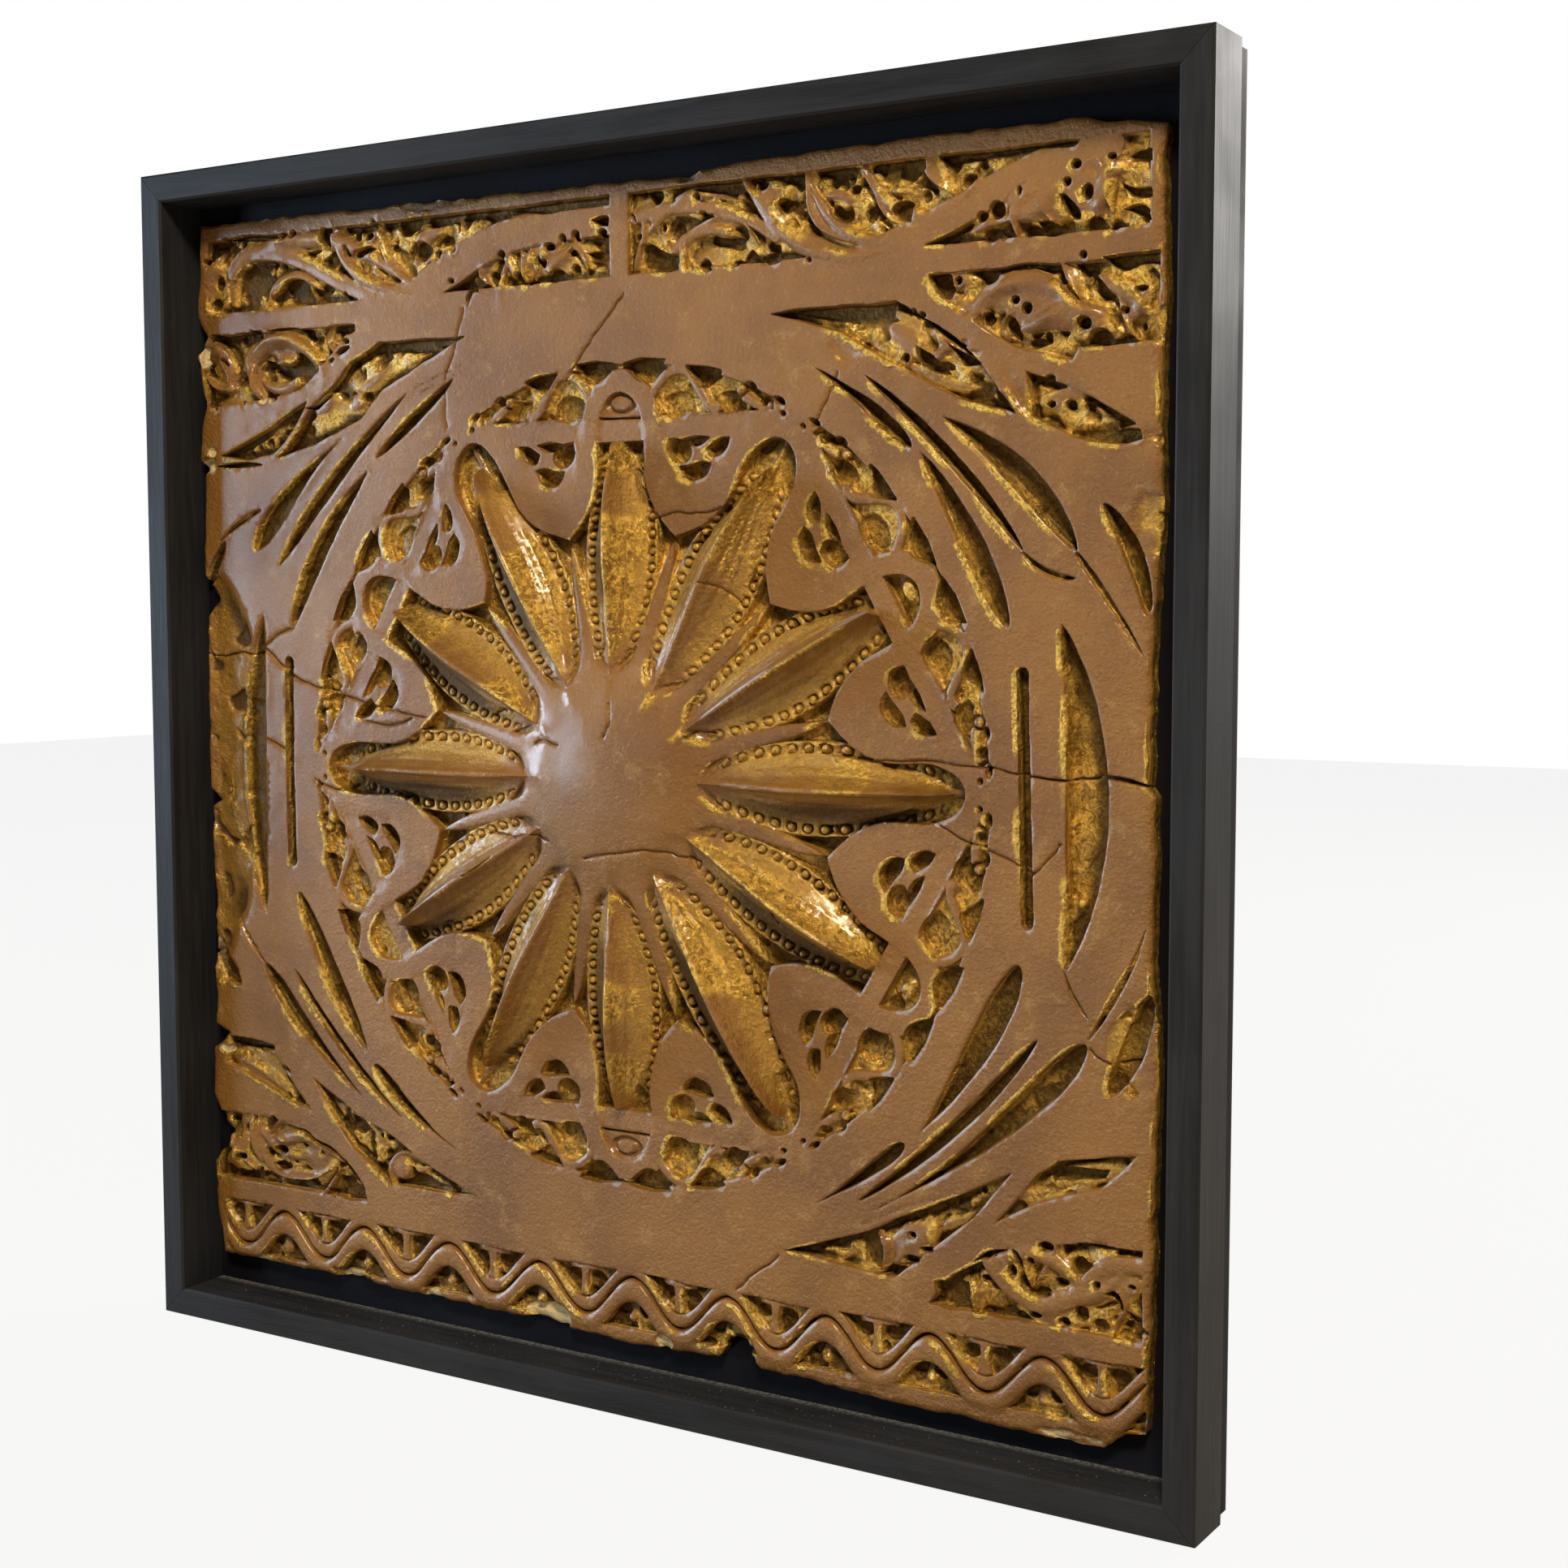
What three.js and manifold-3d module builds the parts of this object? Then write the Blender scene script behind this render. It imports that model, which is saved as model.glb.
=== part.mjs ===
// Wall panel: a cast plaster ornament in a shallow box frame of four mitred rails.
// Millimetres, +Z up. The front faces -Y and the wall plane is y = 0.
// Outlines are drawn in x and z. Heights are measured forward from the wall.

import * as THREE from 'three';
import { mergeVertices } from 'three/addons/utils/BufferGeometryUtils.js';
import Module from 'manifold-3d';

const wasm = await Module();
wasm.setup();

// Frame and backboard
const FRAME_WIDTH = 770;
const FRAME_HEIGHT = 787;
const FRAME_DEPTH = 50.8;
const RAIL_FACE = 19.05;
const EASED_EDGE = 1.5;
const BOARD_THICKNESS = 12.7;
const BOARD_INSET_SIDE = 2;
const BOARD_INSET_END = 3.4;
const FIT_GAP = 0.3;

// Casting: its rear, its flat front and the floor of its openings
const REAR = BOARD_THICKNESS + FIT_GAP;
const FLAT = REAR + 10.8;
const FLOOR = FLAT - 7.5;
const SHALLOW = FLAT - 2.2;
const CLEAR = FLAT + 30;
const SMALLEST_DETAIL = 0.2;
const LEAF_STEP = 62;

// Broken outline of the casting, side by side, clockwise from the top left
const TOP_EDGE = [
  [-358, 362], [-190, 360.5], [-60, 358.5], [42, 356.5], [50, 359.5], [205, 362], [300, 361.5], [349, 353],
];
const RIGHT_EDGE = [
  [347, 330], [350, 265], [347, 236], [349, 160], [346, 120], [343, 5], [347, 0], [346, -98], [350, -125],
];
const BOTTOM_EDGE = [
  [347, -330], [345, -349], [333, -351], [321, -362], [200, -361], [96, -357], [88, -350],
  [84, -342], [73, -342], [67, -356], [0, -358], [-60, -356], [-220, -354], [-355, -354],
];
const LEFT_EDGE = [
  [-361, -310], [-362, -288], [-346, -268], [-361, -240], [-360, -207], [-345, -195], [-358, -190], [-358, -36],
  [-352, -32], [-359, -24], [-359, 96], [-351, 108], [-361, 124], [-358, 195], [-364, 204], [-357, 240],
  [-364, 274], [-353, 286], [-362, 300],
];

// Medallion: rosette of twelve pods on a boss, in a lobed ribbon laced with a hexagon of straps
const MEDALLION_X = -3;
const MEDALLION_Z = -3.5;
const POD_COUNT = 12;
const POD_STEP = (2 * Math.PI) / POD_COUNT;
const POD_START = 62;
const POD_END = 208;
const POD_HALF_WIDTH = 20.5;
const POD_LIP = 5;
const KEEL_HALF_WIDTH = 1.4;
const KEEL_HEIGHTS = [[62, 13], [86, 15], [112, 18.5], [140, 21], [168, 18], [190, 9], [208, -3]];
const BOSS_PROFILE = [[0, 24], [22, 23], [44, 19], [66, 12.6], [92, 7.2], [124, 2.6], [150, -0.6]];
const BOSS_SIDES = 24;
// Half of one ribbon loop: distance from the centre, distance to the side of the pod's axis
const LOOP_HALF = [[238, 0], [232, 12], [215, 19], [184, 19], [162, 27], [147, 39.4]];
const STRAP_APOTHEM = 212.3;
const STRAP_WIDTH = 14.6;

// Openings beside a pod at a corner of the hexagon, seen from the medallion's centre with that pod upright
const LEAFLET_OPENINGS = [
  [[34, 217], [40, 212], [45, 203], [39, 201], [35, 205]],
  [[47, 210], [64, 200], [54, 201]],
  [[54, 197], [62, 200], [72, 196], [66, 187], [55, 189]],
  [[38, 197], [44, 195], [57, 185], [49, 182], [38, 189]],
];
const WAVE_OPENINGS = [
  [[10, 252], [38, 250], [30, 245], [20, 245]],
  [[36, 236], [44, 242], [53, 236], [46, 230]],
  [[59, 247], [81, 239], [67, 234]],
  [[67, 218], [80, 223], [88, 214], [79, 208]],
  [[98, 236], [122, 220], [108, 218], [98, 226]],
];

// Four corners. A blade row is start x, z, end x, z, bow outward, width, place of the widest point.
// Fields are sunk areas of foliage. Leaf rows are like blade rows, with a height above the flat last.
const CORNERS = [
  {
    side: 1,
    end: 1,
    blades: [
      [127, 243, 198, 191, 3, 7.5, 0.75],
      [167, 233, 268, 132, 5, 6.5, 0.55],
      [204, 188, 259, 90, 3, 13, 0.6],
      [216, 208, 300, 131, 8, 17, 0.6],
      [315, 157, 341, 97, 5, 10, 0.5],
    ],
    grooves: [[299, 131, 341, 72, 1, 4, 0.3], [267, 132, 300, 117, -4, 4, 0.5]],
    fields: [
      [[103, 271], [120, 273], [188, 273], [201, 266], [217, 255], [242, 235], [264, 206], [225, 217],
        [172, 245], [150, 258]],
      [[207, 286], [346, 286], [346, 241], [300, 240], [296, 233], [262, 242], [243, 248], [212, 273]],
      [[268, 230], [300, 219], [335, 198], [300, 191], [272, 205]],
    ],
    leaves: [
      [182, 268, 252, 222, 3, 15, -1], [190, 240, 240, 222, -4, 11, -1.5], [228, 252, 300, 262, 21, 17, 2],
      [262, 250, 322, 246, 10, 19, 2.5], [300, 276, 343, 250, 7, 15, 1], [215, 279, 258, 262, -5, 11, -1],
      [279, 215, 318, 203, 2, 8, -1],
    ],
  },
  {
    side: -1,
    end: 1,
    blades: [
      [133, 247, 200, 199, 0, 6.5, 0.55],
      [172, 240, 288, 130, 5, 8.5, 0.62],
      [206, 192, 277, 88, 7, 11, 0.6],
      [211, 223, 310, 141, 7, 17, 0.8],
      [338, 147, 357, 118, 0, 9, 0.6],
    ],
    grooves: [[304, 168, 345, 146, 2, 3, 0.4]],
    fields: [
      [[123, 273], [195, 274], [222, 262], [238, 247], [257, 236], [276, 217], [293, 201], [252, 210],
        [212, 225], [193, 243], [160, 257]],
      [[215, 287], [350, 287], [356, 280], [355, 238], [300, 241], [262, 247], [240, 261], [222, 275]],
      [[343, 205], [300, 221], [260, 239], [268, 222], [290, 205], [315, 201]],
    ],
    leaves: [
      [222, 243, 186, 262, 4, 13, -1], [262, 232, 214, 228, -5, 11, -2], [246, 257, 318, 262, 21, 15, 2],
      [256, 268, 306, 256, -14, 12, 1], [298, 240, 308, 280, -8, 12, 2], [330, 244, 350, 284, 5, 16, 1],
    ],
  },
  {
    side: -1,
    end: -1,
    blades: [
      [132, 255, 209, 203, 5, 8, 0.8],
      [185, 237, 280, 145, 6, 6.5, 0.6],
      [216, 195, 275, 91, 2, 13, 0.5],
      [210, 233, 308, 143, 6, 12, 0.75],
      [331, 160, 354, 136, 2, 12, 0.55],
    ],
    grooves: [[305, 146, 352, 84, 3, 3, 0.4]],
    fields: [
      [[117, 283], [168, 263], [193, 250], [220, 241], [266, 218], [248, 243], [230, 263], [197, 283]],
      [[217, 298], [358, 298], [352, 270], [356, 251], [300, 250], [262, 258], [235, 272], [220, 285]],
      [[343, 199], [300, 205], [285, 222], [264, 243], [285, 238], [310, 228], [348, 216]],
    ],
    leaves: [
      [250, 234, 196, 262, 3, 12, -1.5], [204, 270, 160, 266, -5, 11, 0], [238, 276, 316, 276, -16, 15, 2],
      [262, 272, 322, 254, 10, 13, 1.5], [312, 286, 322, 246, 6, 12, 2], [332, 262, 352, 288, 5, 17, 1],
      [336, 205, 280, 232, 6, 10, -1.5],
    ],
  },
  {
    side: 1,
    end: -1,
    blades: [
      [112, 263, 195, 206, 3, 7.5, 0.85],
      [163, 245, 279, 137, 6, 7, 0.6],
      [204, 200, 267, 97, 4, 15, 0.7],
      [173, 249, 308, 137, 8, 14, 0.8],
      [322, 164, 345, 106, 2, 13, 0.5],
    ],
    grooves: [[309, 135, 341, 79, 1, 3, 0.4]],
    fields: [
      [[112, 281], [172, 260], [200, 245], [233, 230], [266, 212], [238, 245], [220, 260], [188, 286]],
      [[208, 298], [343, 298], [343, 246], [305, 248], [262, 257], [228, 277], [213, 289]],
      [[252, 245], [265, 230], [280, 212], [292, 203], [340, 194], [318, 216], [280, 229]],
    ],
    leaves: [
      [184, 276, 214, 250, 7, 16, 0], [240, 240, 196, 254, -4, 10, -1.5], [246, 272, 312, 280, -18, 14, 2],
      [284, 280, 336, 256, 8, 17, 1.5], [262, 260, 292, 250, 5, 11, 1], [226, 292, 250, 276, 4, 12, 0],
      [270, 232, 322, 205, 4, 9, -2],
    ],
  },
];
const FLANK_SLOTS = [[268, 67, 272, -75, 0, 8, 0.5], [-280, 67, -280, -72, 0, 9, 0.5]];
const FLANK_LENSES = [[291, 93, 295, -98, 15, 25, 0.5], [-306, -108, -304, 97, 11, 25, 0.5]];

// Top strip: two panels of scrolling leaf between bars
const SCROLL_LOW = 301;
const SCROLL_HIGH = 350;
const SCROLL_PANELS = [
  {
    from: -350,
    to: -10,
    leaves: [
      [-330, 330, -170, 306, 26, 15, 2], [-238, 349, -168, 306, -14, 12, 2.5], [-215, 306, -14, 342, -13, 19, 1],
      [-296, 306, -246, 310, 13, 12, 1], [-350, 306, -336, 344, 6, 14, 0], [-166, 316, -136, 342, 8, 15, 0.5],
      [-212, 322, -190, 344, 7, 13, 0], [-96, 322, -84, 304, 4, 13, 1], [-70, 304, -30, 330, 10, 16, 0.5],
      [-112, 343, -14, 349, -4, 5, 0],
    ],
  },
  {
    from: 3,
    to: 340,
    leaves: [
      [12, 318, 92, 336, 17, 12, 1], [86, 349, 200, 305, -24, 13, 2.5], [128, 349, 212, 312, -22, 12, 2],
      [168, 349, 222, 318, -12, 12, 1.5], [168, 306, 304, 344, -14, 19, 1], [30, 304, 84, 316, 13, 14, 0.5],
      [8, 304, 14, 344, -3, 9, 0], [256, 306, 286, 330, 7, 15, 1], [312, 306, 320, 342, 4, 17, 1],
      [108, 322, 122, 344, 6, 12, 0],
    ],
  },
];

// Bottom strip: a running wave ribbon over small pierced triangles
const WAVE_HIGH = -313.5;
const WAVE_LOW = -349.5;
const WAVE_PITCH = 71.6;
const WAVE_CREST = -2;
const WAVE_RIB = 7;
const WAVE_COUNT = 4;

const PLASTER_COLOUR = 0x8c6a3c;
const FRAME_COLOUR = 0x2b2b30;
const BOARD_COLOUR = 0x121214;

const plaster = new THREE.MeshStandardMaterial({ color: PLASTER_COLOUR, roughness: 0.45, metalness: 0.35 });
const stainedWood = new THREE.MeshStandardMaterial({ color: FRAME_COLOUR, roughness: 0.5, metalness: 0 });
const paintedBoard = new THREE.MeshStandardMaterial({ color: BOARD_COLOUR, roughness: 0.6, metalness: 0 });

function toSolid(geometry) {
  geometry.deleteAttribute('normal');
  geometry.deleteAttribute('uv');
  const merged = mergeVertices(geometry, 1e-4);
  const vertProperties = new Float32Array(merged.attributes.position.array);
  const triVerts = new Uint32Array(merged.index.array);
  return new wasm.Manifold(new wasm.Mesh({ numProp: 3, vertProperties, triVerts }));
}

function toGeometry(solid) {
  const mesh = solid.getMesh();
  const geometry = new THREE.BufferGeometry();
  geometry.setAttribute('position', new THREE.BufferAttribute(new Float32Array(mesh.vertProperties), 3));
  geometry.setIndex(new THREE.BufferAttribute(new Uint32Array(mesh.triVerts), 1));
  return geometry;
}

// Stands a geometry drawn in x, z and height up against the wall.
function standUp(geometry) {
  return geometry.rotateX(Math.PI / 2);
}

function prism(outline, low, high) {
  const shape = new THREE.Shape(outline.map(([x, z]) => new THREE.Vector2(x, z)));
  const geometry = new THREE.ExtrudeGeometry(shape, { depth: high - low, bevelEnabled: false });
  return toSolid(standUp(geometry.translate(0, 0, low)));
}

// Skins rings of equal length, each a list of [x, z, height], into one closed solid.
function loft(rings) {
  const size = rings[0].length;
  const positions = rings.flat(2);
  const index = [];
  for (let ring = 0; ring + 1 < rings.length; ring += 1) {
    for (let i = 0; i < size; i += 1) {
      const a = ring * size + i;
      const b = ring * size + ((i + 1) % size);
      index.push(a, b, b + size, a, b + size, a + size);
    }
  }
  const last = (rings.length - 1) * size;
  for (let i = 1; i + 1 < size; i += 1) {
    index.push(0, i + 1, i, last, last + i, last + i + 1);
  }
  const geometry = new THREE.BufferGeometry();
  geometry.setAttribute('position', new THREE.Float32BufferAttribute(positions, 3));
  geometry.setIndex(index);
  return toSolid(standUp(geometry));
}

function interpolate(table, at) {
  for (let i = 1; i < table.length; i += 1) {
    const [x0, y0] = table[i - 1];
    const [x1, y1] = table[i];
    if (at <= x1) return y0 + ((y1 - y0) * (at - x0)) / (x1 - x0);
  }
  return table[table.length - 1][1];
}

// A curved spindle: its middle line, its unit normal and its half width at a share of its length.
function spindle([x0, z0, x1, z1, bow, width, widest]) {
  const length = Math.hypot(x1 - x0, z1 - z0);
  const nx = -(z1 - z0) / length;
  const nz = (x1 - x0) / length;
  const power = Math.log(0.5) / Math.log(widest);
  return (t) => {
    const lift = 4 * t * (1 - t) * bow;
    const tilt = (4 * (1 - 2 * t) * bow) / length;
    const scale = Math.hypot(1, tilt);
    return {
      x: x0 + (x1 - x0) * t + nx * lift,
      z: z0 + (z1 - z0) * t + nz * lift,
      nx: (nx - ((x1 - x0) / length) * tilt) / scale,
      nz: (nz - ((z1 - z0) / length) * tilt) / scale,
      half: (width / 2) * Math.sin(Math.PI * t ** power) ** 0.7,
    };
  };
}

function spindleOutline(row, steps) {
  const at = spindle(row);
  const left = [];
  const right = [];
  for (let i = 1; i < steps; i += 1) {
    const p = at(i / steps);
    left.push([p.x + p.nx * p.half, p.z + p.nz * p.half]);
    right.unshift([p.x - p.nx * p.half, p.z - p.nz * p.half]);
  }
  return [[row[0], row[1]], ...left, [row[2], row[3]], ...right];
}

// A leaf: a spindle with a ridged back, rooted below the floor of the opening it fills.
function leaf([x0, z0, x1, z1, bow, width, height]) {
  const at = spindle([x0, z0, x1, z1, bow, width, 0.5]);
  const steps = Math.round(2 + (Math.hypot(x1 - x0, z1 - z0) + Math.abs(bow)) / LEAF_STEP);
  const root = FLOOR - 1;
  const rise = FLAT + height - root;
  const rings = [];
  for (let i = 0; i <= steps; i += 1) {
    const t = 0.06 + (0.88 * i) / steps;
    const p = at(t);
    const ridge = rise * Math.sin(Math.PI * t) ** 0.35;
    const across = (share, lift) => [p.x + p.nx * p.half * share, p.z + p.nz * p.half * share, root + lift];
    rings.push([
      across(-1, 0), across(1, 0), across(0.7, 0.65 * ridge), across(0, ridge), across(-0.7, 0.65 * ridge),
    ]);
  }
  return loft(turnedOutward(rings));
}

// Reverses rings that would be skinned inside out.
function turnedOutward(rings) {
  const [first, second] = rings;
  const centre = (ring, axis) => ring.reduce((sum, point) => sum + point[axis], 0) / ring.length;
  const along = [0, 1, 2].map((axis) => centre(second, axis) - centre(first, axis));
  const normal = [0, 0, 0];
  first.forEach((a, i) => {
    const b = first[(i + 1) % first.length];
    normal[0] += a[1] * b[2] - a[2] * b[1];
    normal[1] += a[2] * b[0] - a[0] * b[2];
    normal[2] += a[0] * b[1] - a[1] * b[0];
  });
  const facing = normal[0] * along[0] + normal[1] * along[1] + normal[2] * along[2];
  return facing > 0 ? rings : rings.map((ring) => [...ring].reverse());
}

// A point at a distance along, and to the side of, the axis of a pod.
function podPoint(turn, along, aside) {
  return [
    MEDALLION_X + along * Math.cos(turn) - aside * Math.sin(turn),
    MEDALLION_Z + along * Math.sin(turn) + aside * Math.cos(turn),
  ];
}

function loopOutline() {
  const outline = [];
  for (let k = 0; k < POD_COUNT; k += 1) {
    const turn = k * POD_STEP;
    const rising = [...LOOP_HALF].reverse().slice(1);
    rising.forEach(([along, aside]) => outline.push(podPoint(turn, along, -aside)));
    LOOP_HALF.slice(1).forEach(([along, aside]) => outline.push(podPoint(turn, along, aside)));
  }
  return outline;
}

function podHalfWidth(along) {
  const share = (along - POD_START) / (POD_END - POD_START);
  return POD_HALF_WIDTH * Math.sin(Math.PI * Math.min(Math.max(share, 0.04), 0.96)) ** 0.75;
}

function pod(turn) {
  const rings = KEEL_HEIGHTS.map(([along, keel]) => {
    const half = podHalfWidth(along);
    const foot = FLAT + Math.max(interpolate(BOSS_PROFILE, along) - 0.8, -3.5);
    const top = Math.max(FLAT + keel, foot + 0.6);
    const flank = foot + 0.3 * (top - foot);
    const section = [
      [-half - POD_LIP, REAR + 1], [half + POD_LIP, REAR + 1], [half + POD_LIP, foot], [half, foot],
      [half * 0.5, flank], [KEEL_HALF_WIDTH, top], [-KEEL_HALF_WIDTH, top], [-half * 0.5, flank],
      [-half, foot], [-half - POD_LIP, foot],
    ];
    return section.map(([aside, height]) => [...podPoint(turn, along, aside), height]);
  });
  return loft(turnedOutward(rings));
}

// The boss runs out between the pods as a low cone.
function boss() {
  const foot = REAR + 1;
  const rim = BOSS_PROFILE[BOSS_PROFILE.length - 1][0];
  const outside = BOSS_PROFILE.map(([radius, height]) => new THREE.Vector2(radius, FLAT + height));
  const profile = [new THREE.Vector2(0, foot), new THREE.Vector2(rim, foot), ...outside.reverse()];
  const lathe = new THREE.LatheGeometry(profile, BOSS_SIDES);
  return toSolid(lathe.rotateX(Math.PI).translate(MEDALLION_X, 0, MEDALLION_Z));
}

function strapAcross(turn) {
  const half = STRAP_WIDTH / 2;
  const outline = [
    podPoint(turn, STRAP_APOTHEM - half, -24),
    podPoint(turn, STRAP_APOTHEM + half, -24),
    podPoint(turn, STRAP_APOTHEM + half, 24),
    podPoint(turn, STRAP_APOTHEM - half, 24),
  ];
  return prism(outline, REAR + 1, FLAT - 0.8);
}

function medallionOpenings() {
  const cuts = [];
  for (let sixth = 0; sixth < 6; sixth += 1) {
    const turn = (sixth * Math.PI) / 3;
    for (const hand of [1, -1]) {
      for (const opening of [...LEAFLET_OPENINGS, ...WAVE_OPENINGS]) {
        const outline = opening.map(([x, z]) => podPoint(turn, z, -hand * x));
        cuts.push(prism(hand > 0 ? outline : outline.reverse(), FLOOR, CLEAR));
      }
    }
  }
  return cuts;
}

function cornerWork(corner) {
  const place = ([x, z]) => [x * corner.side, z * corner.end];
  const placeRow = (row) => {
    const [x0, z0, x1, z1, bow, ...rest] = row;
    return [...place([x0, z0]), ...place([x1, z1]), bow * corner.side * corner.end, ...rest];
  };
  const cuts = [
    ...corner.blades.map((row) => prism(spindleOutline(placeRow(row), 6), FLOOR, CLEAR)),
    ...corner.grooves.map((row) => prism(spindleOutline(placeRow(row), 4), SHALLOW, CLEAR)),
    ...corner.fields.map((outline) => prism(outline.map(place), FLOOR, CLEAR)),
  ];
  return { cuts, adds: corner.leaves.map((row) => leaf(placeRow(row))) };
}

function scrollWork(panel) {
  const cell = [
    [panel.from, SCROLL_LOW], [panel.to, SCROLL_LOW], [panel.to, SCROLL_HIGH], [panel.from, SCROLL_HIGH],
  ];
  return { cuts: [prism(cell, FLOOR, CLEAR)], adds: panel.leaves.map(leaf) };
}

// Triangles above the troughs and below the crests of the wave, each split by a rib.
function waveOpenings() {
  const cuts = [];
  const split = (middle, base, tip, reach) => {
    for (const hand of [-1, 1]) {
      cuts.push(prism([
        [middle + (hand * WAVE_RIB) / 2, base],
        [middle + hand * reach, base],
        [middle + hand * (WAVE_RIB / 2 + 2.5), tip],
        [middle + (hand * WAVE_RIB) / 2, tip],
      ], FLOOR, CLEAR));
    }
  };
  for (let k = -WAVE_COUNT; k <= WAVE_COUNT; k += 1) {
    const crest = WAVE_CREST + k * WAVE_PITCH;
    split(crest, WAVE_LOW, WAVE_LOW + 17, 23);
    split(crest - WAVE_PITCH / 2, WAVE_HIGH, WAVE_HIGH - 18, 22);
  }
  split(WAVE_CREST + (WAVE_COUNT + 0.5) * WAVE_PITCH, WAVE_HIGH, WAVE_HIGH - 18, 20);
  return cuts;
}

function casting() {
  const outline = [...TOP_EDGE, ...RIGHT_EDGE, ...BOTTOM_EDGE, ...LEFT_EDGE];
  let solid = prism(outline, REAR, FLAT);
  const cuts = [prism(loopOutline(), FLAT - 6.5, CLEAR), ...medallionOpenings(), ...waveOpenings()];
  const adds = [boss()];
  for (let k = 0; k < POD_COUNT; k += 1) adds.push(pod(k * POD_STEP));
  for (let k = 0; k < 6; k += 1) adds.push(strapAcross(Math.PI / 6 + (k * Math.PI) / 3));
  for (const corner of CORNERS) {
    const work = cornerWork(corner);
    cuts.push(...work.cuts);
    adds.push(...work.adds);
  }
  for (const row of FLANK_SLOTS) cuts.push(prism(spindleOutline(row, 6), FLOOR, CLEAR));
  for (const row of FLANK_LENSES) cuts.push(prism(spindleOutline(row, 8), FLOOR, CLEAR));
  for (const panel of SCROLL_PANELS) {
    const work = scrollWork(panel);
    cuts.push(...work.cuts);
    adds.push(...work.adds);
  }
  solid = solid.subtract(wasm.Manifold.union(cuts));
  solid = wasm.Manifold.union([solid, ...adds]);
  return toGeometry(solid.simplify(SMALLEST_DETAIL));
}

// A rail lies along +X before it is turned, its outer edge below and its ends mitred.
function rail(length) {
  const back = BOARD_THICKNESS + FIT_GAP;
  const front = FRAME_DEPTH;
  const section = [
    [0, back], [RAIL_FACE, back], [RAIL_FACE, front - EASED_EDGE], [RAIL_FACE - EASED_EDGE, front],
    [EASED_EDGE, front], [0, front - EASED_EDGE],
  ];
  const end = (hand) => section.map(([inward, height]) => [
    hand * (length / 2 - inward - FIT_GAP / 2), inward, height,
  ]);
  return toGeometry(loft(turnedOutward([end(-1), end(1)])));
}

function backboard() {
  const width = FRAME_WIDTH - 2 * BOARD_INSET_SIDE;
  const height = FRAME_HEIGHT - 2 * BOARD_INSET_END;
  return new THREE.BoxGeometry(width, BOARD_THICKNESS, height).translate(0, -BOARD_THICKNESS / 2, 0);
}

const panel = new THREE.Group();

function addPiece(name, geometry, material, x = 0, z = 0, turn = 0) {
  const mesh = new THREE.Mesh(geometry, material);
  mesh.name = name;
  mesh.position.set(x, 0, z);
  mesh.rotation.set(0, turn, 0);
  panel.add(mesh);
}

addPiece('backboard', backboard(), paintedBoard);
addPiece('rail_bottom', rail(FRAME_WIDTH), stainedWood, 0, -FRAME_HEIGHT / 2, 0);
addPiece('rail_top', rail(FRAME_WIDTH), stainedWood, 0, FRAME_HEIGHT / 2, Math.PI);
addPiece('rail_left', rail(FRAME_HEIGHT), stainedWood, -FRAME_WIDTH / 2, 0, Math.PI / 2);
addPiece('rail_right', rail(FRAME_HEIGHT), stainedWood, FRAME_WIDTH / 2, 0, -Math.PI / 2);
addPiece('plaster_panel', casting(), plaster);

export default panel;
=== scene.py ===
"""Wall panel: a cast plaster ornament in a shallow box frame.

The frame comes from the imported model. The casting's front is worked out as a height field in millimetres
and turned into triangles, five closed sectors that stand for the one casting. The front faces -Y.
"""

import math

import bpy
import numpy as np
from mathutils import Matrix, Vector


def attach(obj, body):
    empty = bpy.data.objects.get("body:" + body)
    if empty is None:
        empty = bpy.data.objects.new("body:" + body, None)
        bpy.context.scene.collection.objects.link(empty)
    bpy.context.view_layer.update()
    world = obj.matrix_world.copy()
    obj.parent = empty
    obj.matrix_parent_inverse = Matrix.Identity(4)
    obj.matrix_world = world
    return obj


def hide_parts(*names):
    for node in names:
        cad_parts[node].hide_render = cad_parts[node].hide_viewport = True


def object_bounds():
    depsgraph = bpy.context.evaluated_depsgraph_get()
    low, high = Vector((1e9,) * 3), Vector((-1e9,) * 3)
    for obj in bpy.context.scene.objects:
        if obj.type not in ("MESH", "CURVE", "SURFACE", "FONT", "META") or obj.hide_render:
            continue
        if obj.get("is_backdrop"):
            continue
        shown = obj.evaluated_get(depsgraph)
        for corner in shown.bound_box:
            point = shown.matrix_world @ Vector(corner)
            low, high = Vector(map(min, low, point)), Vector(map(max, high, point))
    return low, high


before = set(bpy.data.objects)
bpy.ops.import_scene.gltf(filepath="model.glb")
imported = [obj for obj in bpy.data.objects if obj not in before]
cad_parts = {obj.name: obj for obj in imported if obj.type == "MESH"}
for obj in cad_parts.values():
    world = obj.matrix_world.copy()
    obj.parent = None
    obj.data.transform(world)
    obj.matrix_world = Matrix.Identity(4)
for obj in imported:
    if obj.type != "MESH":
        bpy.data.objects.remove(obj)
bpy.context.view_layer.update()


# Relief grid
# The grid is square, with its middle at x = GRID_X. Heights are in millimetres above the casting's flats.
# The flats stand FLAT in front of the wall, and the casting's rear stands REAR in front of it.
GRID_SPAN = 734.0
GRID_X = -6.0
CELLS = 2048
CELL = GRID_SPAN / CELLS
FLAT = 23.8
REAR = 13.0
FLOOR = REAR - FLAT
RNG = np.random.default_rng(7)
NOISE_SWING = 1.8
FAR = 1e9
TINY = 1e-9

xs = (GRID_X - GRID_SPAN / 2 + CELL * np.arange(CELLS + 1)).astype(np.float32)
zs = (-GRID_SPAN / 2 + CELL * np.arange(CELLS + 1)).astype(np.float32)
height = np.zeros((CELLS + 1, CELLS + 1), np.float32)
gilding = np.zeros_like(height)
bare = np.zeros_like(height)


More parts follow.
